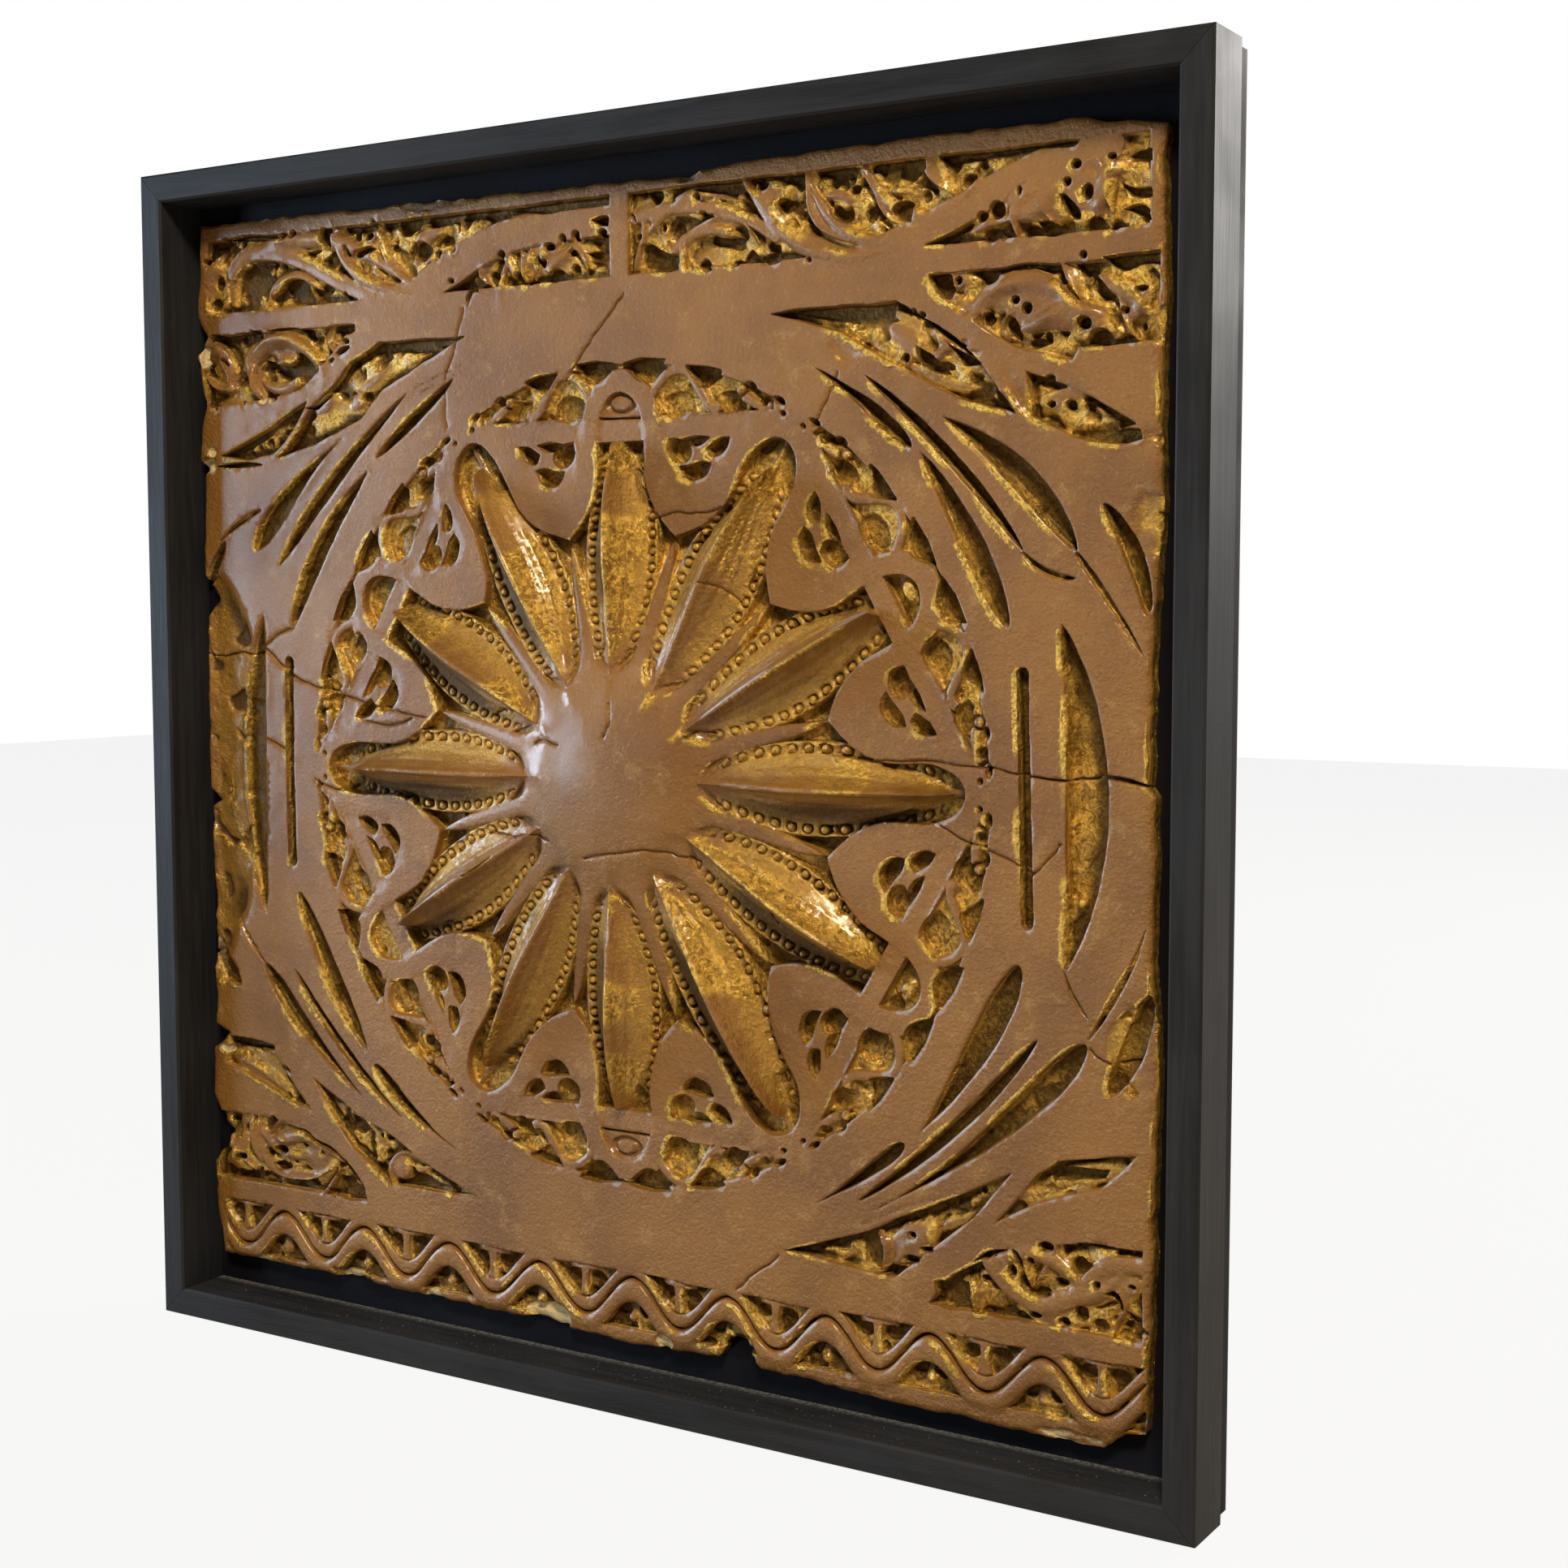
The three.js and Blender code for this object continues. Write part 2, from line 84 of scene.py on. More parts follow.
def spline_weights(count):
    """Cubic B-spline weights that spread count cells' worth of control values over the grid."""
    at = np.arange(CELLS + 1) * count / CELLS
    weights = np.zeros((CELLS + 1, count + 3), np.float32)
    first = np.minimum(at.astype(int), count - 1)
    t = at - first
    rows = np.arange(CELLS + 1)
    basis = ((1 - t) ** 3, 3 * t**3 - 6 * t**2 + 4, -3 * t**3 + 3 * t**2 + 3 * t + 1, t**3)
    for k, value in enumerate(basis):
        weights[rows, first + k] = value / 6
    return weights


def noise(size):
    """Smooth noise over the whole grid, about -1 to 1, with lumps of this size in millimetres."""
    count = max(int(GRID_SPAN / size), 1)
    weights = spline_weights(count)
    knots = RNG.uniform(-NOISE_SWING, NOISE_SWING, (count + 3, count + 3)).astype(np.float32)
    return weights @ knots @ weights.T


def blurred(field, size):
    """The field averaged over blocks of about this size in millimetres, and made smooth again."""
    block = max(int(2 ** round(math.log2(size / CELL))), 1)
    count = CELLS // block
    means = field[:-1, :-1].reshape(count, block, count, block).mean((1, 3))
    weights = spline_weights(count)
    return weights @ np.pad(means, ((1, 2), (1, 2)), mode="edge") @ weights.T


def ease(value):
    """A smooth step from 0 to 1."""
    t = np.clip(value, 0, 1)
    return t * t * (3 - 2 * t)


def blend(low, high, amount):
    return low + (high - low) * amount


def bump(away, width):
    """A soft hump that is 1 where away is 0."""
    return np.exp(-((away / width) ** 2))


def window(points, margin):
    """The part of the grid around some points: its index, its x and its z."""
    p = np.asarray(points, float)
    start = np.array([xs[0], zs[0]], float)
    c0, r0 = np.clip((p.min(0) - margin - start) / CELL, 0, CELLS).astype(int)
    c1, r1 = np.clip((p.max(0) + margin - start) / CELL, 0, CELLS).astype(int)
    part = np.s_[r0:r1 + 2, c0:c1 + 2]
    return part, xs[None, part[1]], zs[part[0], None]


def depth_inside(ring, x, z):
    """Distance to a closed ring of points, positive inside it."""
    nearest = np.full(np.broadcast(x, z).shape, FAR, np.float32)
    within = np.zeros(nearest.shape, bool)
    for (x0, z0), (x1, z1) in zip(ring, np.roll(ring, -1, axis=0)):
        ex, ez = x1 - x0, z1 - z0
        px, pz = x - x0, z - z0
        t = np.clip((px * ex + pz * ez) / max(ex * ex + ez * ez, TINY), 0, 1)
        nearest = np.minimum(nearest, (px - t * ex) ** 2 + (pz - t * ez) ** 2)
        if z0 != z1:
            within ^= ((z0 > z) != (z1 > z)) & (px < ex * pz / ez)
    return np.where(within, 1, -1) * np.sqrt(nearest)


def distance_along(line, x, z, signed=False):
    """Distance to an open line, and the share of its length where the line is nearest.

    A signed distance is positive on the left-hand side of the line.
    """
    line = np.asarray(line, float)
    lengths = np.hypot(*np.diff(line, axis=0).T)
    nearest = np.full(np.broadcast(x, z).shape, FAR, np.float32)
    share = np.zeros_like(nearest)
    hand = np.ones_like(nearest)
    start = 0.0
    for (x0, z0), (x1, z1), length in zip(line[:-1], line[1:], lengths):
        px, pz = x - x0, z - z0
        t = np.clip((px * (x1 - x0) + pz * (z1 - z0)) / length**2, 0, 1)
        away = (px - t * (x1 - x0)) ** 2 + (pz - t * (z1 - z0)) ** 2
        closer = away < nearest
        nearest = np.where(closer, away, nearest)
        share = np.where(closer, (start + t * length) / lengths.sum(), share)
        if signed:
            hand = np.where(closer, np.sign((x1 - x0) * pz - (z1 - z0) * px), hand)
        start += length
    return hand * np.sqrt(nearest), share


def smooth_curve(points, closed=False, steps=5):
    """A Catmull-Rom curve through the points that keeps its sharp corners."""
    p = np.asarray(points, float)
    before, after = np.roll(p, 1, 0), np.roll(p, -1, 0)
    if not closed:
        before[0], after[-1] = p[0], p[-1]
    tangent = (after - before) / 2
    into, out = p - before, after - p
    size_in, size_out = np.hypot(*into.T), np.hypot(*out.T)
    turn = (into * out).sum(1) / np.maximum(size_in * size_out, TINY)
    reach = np.minimum(size_in, size_out) / np.maximum(np.hypot(*tangent.T), TINY)
    tangent *= np.minimum(reach, 1)[:, None]
    tangent[turn < 0.1] = 0
    ends = np.roll(p, -1, 0), np.roll(tangent, -1, 0)
    count = len(p) if closed else len(p) - 1
    rows = []
    for i in range(count):
        for t in np.arange(steps) / steps:
            rows.append((2 * t**3 - 3 * t**2 + 1) * p[i] + (t**3 - 2 * t**2 + t) * tangent[i]
                        + (3 * t**2 - 2 * t**3) * ends[0][i] + (t**3 - t**2) * ends[1][i])
    if not closed:
        rows.append(p[-1])
    return np.array(rows)


def sink_to(part, amount, level, gold=1.0):
    """Blends a part of the relief down to a level where amount is 1."""
    here = height[part]
    height[part] = here + amount * (np.minimum(here, level) - here)
    gilding[part] = gilding[part] + np.clip(amount * 1.6, 0, 1) * (gold - gilding[part])


def raise_to(part, amount, level, gold):
    """Blends a part of the relief up to a level where amount is 1."""
    here = height[part]
    height[part] = here + amount * (np.maximum(here, level) - here)
    gilding[part] += amount * (gold - gilding[part])


def swell(share, end):
    """A half wave along a line, from its start to its end. It keeps off zero at both ends."""
    return np.sin(np.pi * np.clip(share, end, 1 - end))


def pointed(share, half, widest, bluntness):
    """Half the width of a pointed slot along its length, with the place where it is widest."""
    return half * swell(share ** (math.log(0.5) / math.log(widest)), 0.001) ** bluntness


def out_from_middle(x, z, x0, z0, half_x, half_z, tilt):
    """How far points are from the middle of a tilted oval. It is 1 on the oval's edge."""
    c, s = math.cos(math.radians(tilt)), math.sin(math.radians(tilt))
    u = ((x - x0) * c + (z - z0) * s) / half_x
    v = (-(x - x0) * s + (z - z0) * c) / half_z
    return np.hypot(u, v)


def sink_ring(points, depth, wall, gold=1.0):
    """Sinks the inside of a ring to a floor, with a sloped wall."""
    ring = smooth_curve(points, closed=True)
    part, x, z = window(ring, 2)
    edge = depth_inside(ring, x, z) + 0.9 * edge_wander[part]
    sink_to(part, ease(edge / wall), -depth + 0.8 * lumps[part], gold)


def sink_line(points, half, depth, wall, gold=1.0, widest=0.5):
    """Cuts a pointed slot along a line, as a knife or gouge leaves it."""
    line = smooth_curve(points)
    part, x, z = window(line, half + 2)
    away, share = distance_along(line, x, z)
    edge = pointed(share, half, widest, 0.7) - away + 0.5 * edge_wander[part]
    sink_to(part, ease(edge / wall), -depth + 0.7 * lumps[part], gold)


def sink_ovals(rows, depth, wall):
    """Sinks ovals. A row is x, z, half width, half height and tilt in degrees."""
    for row in rows:
        part, x, z = window([row[:2]], max(row[2:4]) + 1)
        edge = (1 - out_from_middle(x, z, *row)) * min(row[2:4]) * 1.25 + 0.9 * edge_wander[part]
        sink_to(part, ease(edge / wall), -depth + 0.7 * lumps[part])


def drill(rows):
    """Drilled holes with a slightly raised lip. A row is x, z and radius."""
    for x0, z0, radius in rows:
        part, x, z = window([(x0, z0)], radius + 3)
        away = np.hypot(x - x0, z - z0) + 0.6 * edge_wander[part]
        height[part] += 0.3 * bump(away - radius - 0.7, 0.9)
        sink_to(part, ease((radius + 0.3 - away) / 1.3), -HOLE_DEPTH, 0.9)


def raise_line(points, half, lift, gold):
    """Adds a soft ridge along a line, or a groove if lift is negative."""
    line = smooth_curve(points)
    part, x, z = window(line, 2.5 * half)
    away, share = distance_along(line, x, z)
    shape = bump(away, half) * swell(share, 0.02) ** 0.4
    height[part] += lift * shape
    gilding[part] += shape * (gold - gilding[part])


def lay_band(points, half, top, crown, gold, taper=0.0, edge=1.8):
    """Lays a rounded band along a line: a stem, strand or rib."""
    line = smooth_curve(points)
    part, x, z = window(line, half + 3)
    away, share = distance_along(line, x, z)
    width = half * (1 - taper * np.abs(2 * share - 1) ** 1.5)
    inside = ease((width - away + 0.25 * edge_wander[part]) / edge)
    target = top - crown * np.clip(away / np.maximum(width, 0.5), 0, 1) ** 2 + 0.3 * lumps[part]
    raise_to(part, inside, target, gold)


def lay_crest(points, gentle, steep, top, drop, gold=0.4):
    """Lays a leaf edge: a crest with a steep right-hand side and a hollow fall on its left-hand side."""
    line = smooth_curve(points)
    part, x, z = window(line, gentle + 4)
    away, share = distance_along(line, x, z, signed=True)
    ends = swell(share, 0.05) ** 0.5
    width = np.where(away > 0, gentle, steep) * ends
    s = np.clip(np.abs(away) / np.maximum(width, 0.4), 0, 1)
    fall = np.where(away > 0, drop * (1 - (1 - s) ** 2), 0.9 * s**2)
    moat = bump(away + steep + 1.6, 1.3) * ease((-0.3 - height[part]) / 1.5)
    height[part] -= 1.6 * ends * moat
    inside = ease((width - np.abs(away) + 0.3 * edge_wander[part]) / 1.2)
    raise_to(part, inside, top - fall + 0.45 * lumps[part], gold + 0.4 * s * (away > 0))


def lay_mounds(rows):
    """Soft mounds. A row is x, z, half width, half height, tilt in degrees and the top's height."""
    for *oval, top in rows:
        part, x, z = window([oval[:2]], max(oval[2:4]) + 1)
        out = out_from_middle(x, z, *oval)
        inside = ease((1 - out + 0.06 * edge_wander[part]) * 3)
        raise_to(part, inside, top - 1.8 * out**2 + 0.3 * lumps[part], 0.42 + 0.3 * out)


HOLE_DEPTH = 6.5

# Shared noise
# Lumps roughen every floor, edge_wander moves the edges, and the two drifts bend regular patterns.
lumps = 0.55 * noise(13) + 0.4 * noise(5.5) + 0.22 * noise(2.6)
edge_wander = 0.5 * noise(10) + 0.25 * noise(4)
drift_x = 0.7 * noise(38) + 0.25 * noise(14)
drift_z = 0.7 * noise(38) + 0.25 * noise(14)
leafy = 1.1 * (0.5 - np.abs(noise(19))) + 0.45 * (0.4 - np.abs(noise(8))) + 0.12 * noise(2.6)
burrs = noise(5.5)
pores = ease((noise(5.2) - 0.35) / 0.3)
rim_noise = noise(21)
patches = noise(24)

# Rosette
# A profile's points are a distance from the medallion's middle and a height, or half a width.
MEDALLION = (-3.0, -3.5)
PODS = 12
RING_EDGE = 252.5
STRAP_APOTHEM = 212.3
STRAP_HALF = 7.3
LOOP_START = 136
LOOP_WIDTH = 19
LOOP_END = 238
LOOP_HALF = [(147, 39.4), (162, 27), (184, LOOP_WIDTH), (215, LOOP_WIDTH), (232, 12), (LOOP_END, 0)]
# Distance from each pod's axis to its ribbon, on the left and right, and the loop's far end
LOOPS = [
    (17, 18, 237), (17, 21, 236), (17, 20, 234), (17, 17.5, 236), (24, 15, 240.5), (22, 17, 240),
    (18, 17, 243), (20, 17, 238), (20, 18, 237), (20, 20, 239), (21, 21, 238), (19, 19, 239),
]
BOSS = [(0, 24), (14, 23.7), (30, 22), (50, 17.5), (60, 14), (75, 10), (100, 6), (125, 3), (148, 0), (260, 0)]
CHANNEL = [(0, 24), (60, 14), (75, 6.5), (100, 2.5), (125, -1), (140, -4.5), (160, -6.8), (260, -6.8)]
KEEL = [
    (62, 13), (82, 15), (108, 18), (138, 21.5), (166, 20), (190, 15), (202, 11), (210, 4), (216, -5),
    (260, -7),
]
POD_EDGE = [
    (62, 12.5), (80, 8), (100, 4.5), (125, 1), (150, -1), (175, -2.5), (195, -4), (212, -6.5), (260, -7),
]
ARM_HALF = [(0, 30), (62, 16), (75, 7.5), (100, 6), (125, 5), (140, 3.5), (150, 1), (156, 0)]
POD_START = 64
POD_LENGTH = 149
POD_HALF = 19.5
# How much further out each pod's tip reaches
POD_REACH = (15, 0, 3, 0, 10, 0, 14, 0, 8, 0, 15, 0)
# Where the grooves of a pod's flanks lie between its keel and its edge, and how deep they are
POD_GROOVES = ((0.2, 1.1), (0.4, 1.35), (0.64, 0.95))
# The beaded band outside a pod's edge: distances out from the edge, and the pearls' pitch, radius and height
BAND_WIDTH = 8.6
PEARL_OUT = 3.4
PEARL_PITCH = 10.4
PEARL_RADIUS = 2.6
PEARL_HEIGHT = 3.4
CUP_RADIUS = 3.9
LIP_OUT = 6.6
# The ring's openings, mirrored about each pod's axis: a distance beside the axis and a distance along it
LEAFLETS = [
    [(34, 217), (40, 213), (45, 204), (40, 201), (35, 205), (33, 211)],
    [(47, 210), (56, 206), (64, 200), (56, 200), (50, 204)],
    [(54, 197), (62, 200), (72, 196), (70, 190), (66, 187), (59, 187), (54, 191)],
    [(38, 197), (44, 195), (51, 189), (57, 185), (52, 182), (45, 182), (38, 189)],
]
WAVES = [
    [(36, 236), (41, 241), (47, 240), (53, 236), (50, 232), (46, 230), (40, 231)],
    [(59, 247), (68, 245), (81, 239), (74, 236), (67, 234), (63, 240)],
    [(67, 218), (72, 223), (80, 223), (86, 218), (88, 214), (84, 210), (79, 208), (72, 212)],
    [(98, 236), (108, 231), (122, 220), (114, 218), (106, 218), (99, 225)],
]
BEAD_PITS = [(14, 251.5, 5, 2.3), (24, 246, 4, 2.8), (35, 249.5, 5, 3), (8, 246, 2.4, 2)]
# A soft mound under the leaflets
MOUND = [(30, 218), (46, 218), (58, 207), (75, 198), (66, 182), (48, 178), (34, 186), (30, 200)]
# The running strand and the pearl beside it, mirrored about the axis between two straps
STRAND = [
    (24, 234), (30, 241), (36, 245), (44, 246.5), (51, 243), (57, 234), (63, 225), (69, 223), (75, 226),
    (81, 230.5), (88, 229), (96, 224.5), (104, 222),
]
STRAND_PEARL = (86.5, 232.5)
STRAND_PEARL_RADIUS = 3.2


def curve_of(points):
    """A function that reads a smooth profile at some distances."""
    dense = smooth_curve(points, steps=8)
    return lambda at: np.interp(at, dense[:, 0], dense[:, 1]).astype(np.float32)


def folded(radius, degrees, step, start=0.0):
    """The sector a direction falls in, and the position along and beside that sector's axis."""
    sector = np.round((degrees - start) / step)
    local = np.radians(degrees - start - step * sector)
    return sector.astype(int) % int(360 / step), radius * np.cos(local), radius * np.sin(local)


def pod_surface(pod, along, aside):
    """A pod: grooved flanks up to a double keel, inside a beaded band with a lip."""
    turn = np.take(RNG.uniform(-0.5, 0.5, PODS), pod).astype(np.float32)
    scale = np.take(RNG.uniform(0.95, 1.06, PODS), pod).astype(np.float32)
    along = along - np.take(POD_REACH, pod) * ease((along - 130) / 85)
    half = POD_HALF * swell((along - POD_START) / POD_LENGTH, 0.001) ** 0.75 * scale
    side = np.abs(aside)
    rim = curve_of(POD_EDGE)(along)
    keel = curve_of(KEEL)(along) * (0.5 + 0.5 * scale)
    s = np.clip(side / np.maximum(half, 0.5), 0, 1)
    flank = rim + (keel - rim) * (0.34 * (1 - s) + 0.66 * (1 - s) ** 2.1)
    fade = ease((along - 72) / 14) * ease((210 - along) / 12)
    for place, depth in POD_GROOVES:
        wave = place + 0.035 * np.sin(along / 17 + 5 * place + 9 * turn)
        flank -= depth * fade * bump((s - wave) * half, 0.95)
    flank += 0.5 * fade * np.sin(np.clip((s - 0.2) / 0.8, 0, 1) * np.pi) * np.sin(along / 9 + 12 * turn)
    flank += 0.75 * fade * (bump(side - 1.5, 0.9) - 1.3 * bump(aside, 0.7))
    taper = ease((along - 68) / 18) * ease((216 - along) / 16)
    out = side - half
    pitch = along / PEARL_PITCH + 2 * turn
    step = (pitch - np.round(pitch)) * PEARL_PITCH
    away = np.hypot(step, (out - PEARL_OUT) * 0.95)
    band = rim - 0.9 + 1.3 * bump(out - LIP_OUT, 1.3)
    band += 0.7 * np.exp(-((((PEARL_PITCH / 2 - np.abs(step)) / 1.6) ** 2) + ((out - 3.0) / 2.4) ** 2))
    pearl = np.sqrt(np.clip(1 - (away / PEARL_RADIUS) ** 2, 0, 1))
    band += (PEARL_HEIGHT * pearl - 1.5 * ease((CUP_RADIUS - away) / 1.3)) * taper
    surface = np.where(out > 0, blend(rim, band, ease(out / 1.2)), flank)
    inside = ease((half + BAND_WIDTH * taper - side) / 1.1) * ease((along - 58) / 10)
    gold = np.where(out > 0, 0.60, 0.42 + 0.12 * ease((s - 0.15) / 0.6))
    return surface, inside, 0.2 + (gold - 0.2) * ease((along - 62) / 34)


def rosette():
    """The boss, its arms and pods, the lobed ribbon round them, and the straps that cross it."""
    part, x, z = window([MEDALLION], RING_EDGE + 6)
    dx = x - MEDALLION[0] + drift_x[part]
    dz = z - MEDALLION[1] + drift_z[part]
    radius = np.hypot(dx, dz)
    degrees = np.degrees(np.arctan2(dz, dx))
    pod, along, aside = folded(radius, degrees, 360 / PODS)
    left, right, tops = np.array(LOOPS, np.float32).T
    width = np.where(aside > 0, left[pod], right[pod])
    loop_side = np.abs(aside) * (1 + (LOOP_WIDTH / width - 1) * ease((along - 150) / 35))
    loop_along = along * (1 + (LOOP_END / tops[pod] - 1) * ease((along - 190) / 40))
    mirrored = [(a, -b) for a, b in LOOP_HALF[-2::-1]]
    line = smooth_curve(LOOP_HALF + mirrored, steps=4)
    near = (radius > LOOP_START) & (radius < 250)
    away = np.full(radius.shape, 99, np.float32)
    away[near] = distance_along(line[: len(line) // 2 + 3], loop_along[near], loop_side[near])[0]
    order = np.argsort(line[: len(line) // 2 + 1, 0])
    profile = line[: len(line) // 2 + 1][order]
    loop_edge = np.interp(loop_along, profile[:, 0], profile[:, 1], right=-9)
    inward = np.where((loop_side < loop_edge) | (radius < LOOP_START + 10), away, -away)
    inward = np.where(radius <= LOOP_START, 99, inward) + 0.35 * edge_wander[part]
    inside = ease(inward / 1.5)

    rough = lumps[part]
    surface = curve_of(CHANNEL)(radius) + 0.9 * rough * ease((radius - 100) / 40)
    surface -= 2.2 * bump(radius - 149, 7)
    gold = ease((radius - 62) / 25)
    arm_side = radius * np.sin(np.radians(15) - np.abs(np.arctan2(aside, along)))
    arm_half = curve_of(ARM_HALF)(radius)
    boss = curve_of(BOSS)(radius)
    boss += 1.5 * bump(aside, 2.6) * ease((radius - 42) / 18) * ease((74 - radius) / 9)
    arm_round = np.clip(arm_side / np.maximum(arm_half, 0.5), 0, 1) ** 2 * ease((radius - 48) / 22)
    arm = boss - arm_round
    on_arm = np.maximum(ease((arm_half - arm_side) / 1.6), ease((64 - radius) / 9))
    surface = blend(surface, arm, on_arm)
    gold = blend(gold, 0.12, on_arm)

    pod_top, on_pod, pod_gold = pod_surface(pod, along, aside)
    on_pod = on_pod * (pod_top > surface - 0.4)
    surface = blend(surface, pod_top, on_pod)
    gold = blend(gold, pod_gold, on_pod)

    crossed = pod % 2 == 1
    under = crossed & (along > STRAP_APOTHEM - STRAP_HALF - 1)
    on_strap = ease((STRAP_HALF - np.abs(along - STRAP_APOTHEM) + 0.4) / 1.3) * under
    surface = blend(surface, -0.9, on_strap)
    gold = blend(gold, 0.05, on_strap)
    beyond = under & (along > STRAP_APOTHEM + STRAP_HALF)
    oval = np.hypot(aside / 9.5, (along - 229) / 5.5)
    eye = -5.2 + 3.6 * ease((1 - oval) / 0.45)
    engraved = -1.6 - 1.6 * ease((oval - 0.72) / 0.2) * ease((1.25 - oval) / 0.2)
    hollow = np.select([pod == 3, pod == 9, pod == 5, pod == 7], [engraved, engraved, -6.3, -3.2], eye)
    surface = np.where(beyond, blend(surface, hollow + 0.4 * rough, ease((along - 219.2) / 1.4)), surface)
    gold = np.where(beyond, np.select([pod == 3, pod == 9], [0.25, 0.25], 0.75), gold)
    spine = (~crossed) * ease((along - 196) / 8) * ease((2.6 - np.abs(aside + 1.2 * edge_wander[part])) / 1.5)
    surface = blend(surface, np.maximum(surface, -1.6 - 2.2 * ease((along - 205) / 20)), spine)
    gold = blend(gold, 0.35, spine)

    here = height[part]
    height[part] = blend(here, surface, inside)
    gilding[part] = blend(gilding[part], gold, inside)
    lace(part, radius, degrees, inward)


def lace(part, radius, degrees, inward):
    """The straps, the small running strand and the pierced leaflets between the loops and the ring."""
    belt = (radius > 176) & (radius < RING_EDGE + 3) & (inward < 1)
    r, turn, outward = radius[belt], degrees[belt], -inward[belt]
    level, gold = height[part][belt], gilding[part][belt]
    rough, wander = lumps[part][belt], 0.5 * edge_wander[part][belt]
    _, along, aside = folded(r, turn, 60, 30)
    side = np.abs(aside)
    ribbon = ease((outward - 12.6) / 1.2)

    strap = ease((STRAP_HALF - np.abs(along - STRAP_APOTHEM)) / 1.2) * ribbon * ease((98 - side) / 12)
    level = blend(level, -0.8, strap)
    zone = np.minimum(np.minimum(along - STRAP_APOTHEM - STRAP_HALF, RING_EDGE - r), 110 - side)
    zone = ease((np.minimum(zone, outward - 13) + wander) / 1.6)
    level = blend(level, -3.4 + 0.6 * rough, zone)
    gold = blend(gold, 0.85, zone)
    away, _ = distance_along(smooth_curve(STRAND), side, along)
    on_strand = ease((4.1 - away + 0.4 * wander) / 1.6) * ease((outward - 8) / 3)
    level = blend(level, -0.2 - 0.085 * away**2, on_strand)
    gold = blend(gold, 0.3, on_strand)

    _, up, across = folded(r, turn, 60)
    across = np.abs(across)
    mound = smooth_curve(MOUND, closed=True, steps=3)
    soft = ease(depth_inside(mound, across, up) / 4) * ease((outward - 6) / 4)
    level = blend(level, -0.6 + 0.25 * rough, soft)
    gold = blend(gold, 0.3, soft)
    for ring in LEAFLETS + WAVES:
        spread = 0.7 if ring in LEAFLETS else 1.5
        edge = depth_inside(smooth_curve(ring, closed=True, steps=3), across, up) + spread + wander
        cut = ease(edge / 1.2)
        level = blend(level, np.minimum(level, -7.6 + 0.9 * rough), cut)
        gold = blend(gold, 1.0, np.clip(cut * 1.6, 0, 1))
    for x0, z0, half_x, half_z in BEAD_PITS:
        edge = (1 - np.hypot((across - x0) / half_x, (up - z0) / half_z)) * half_z * 1.2 + wander
        cut = ease(edge / 1.5)
        level = blend(level, np.minimum(level, -5 + 0.8 * rough), cut)
        gold = blend(gold, 1.0, np.clip(cut * 1.6, 0, 1))
    away = np.hypot(side - STRAND_PEARL[0], along - STRAND_PEARL[1])
    level = blend(level, -3.2, ease((STRAND_PEARL_RADIUS + 1.8 - away) / 1.4))
    dome = np.sqrt(np.clip(STRAND_PEARL_RADIUS**2 - away**2, 0, None))
    level = np.maximum(level, np.where(away < STRAND_PEARL_RADIUS, -2.6 + dome, -99))
    height[part][belt] = level
    gilding[part][belt] = gold


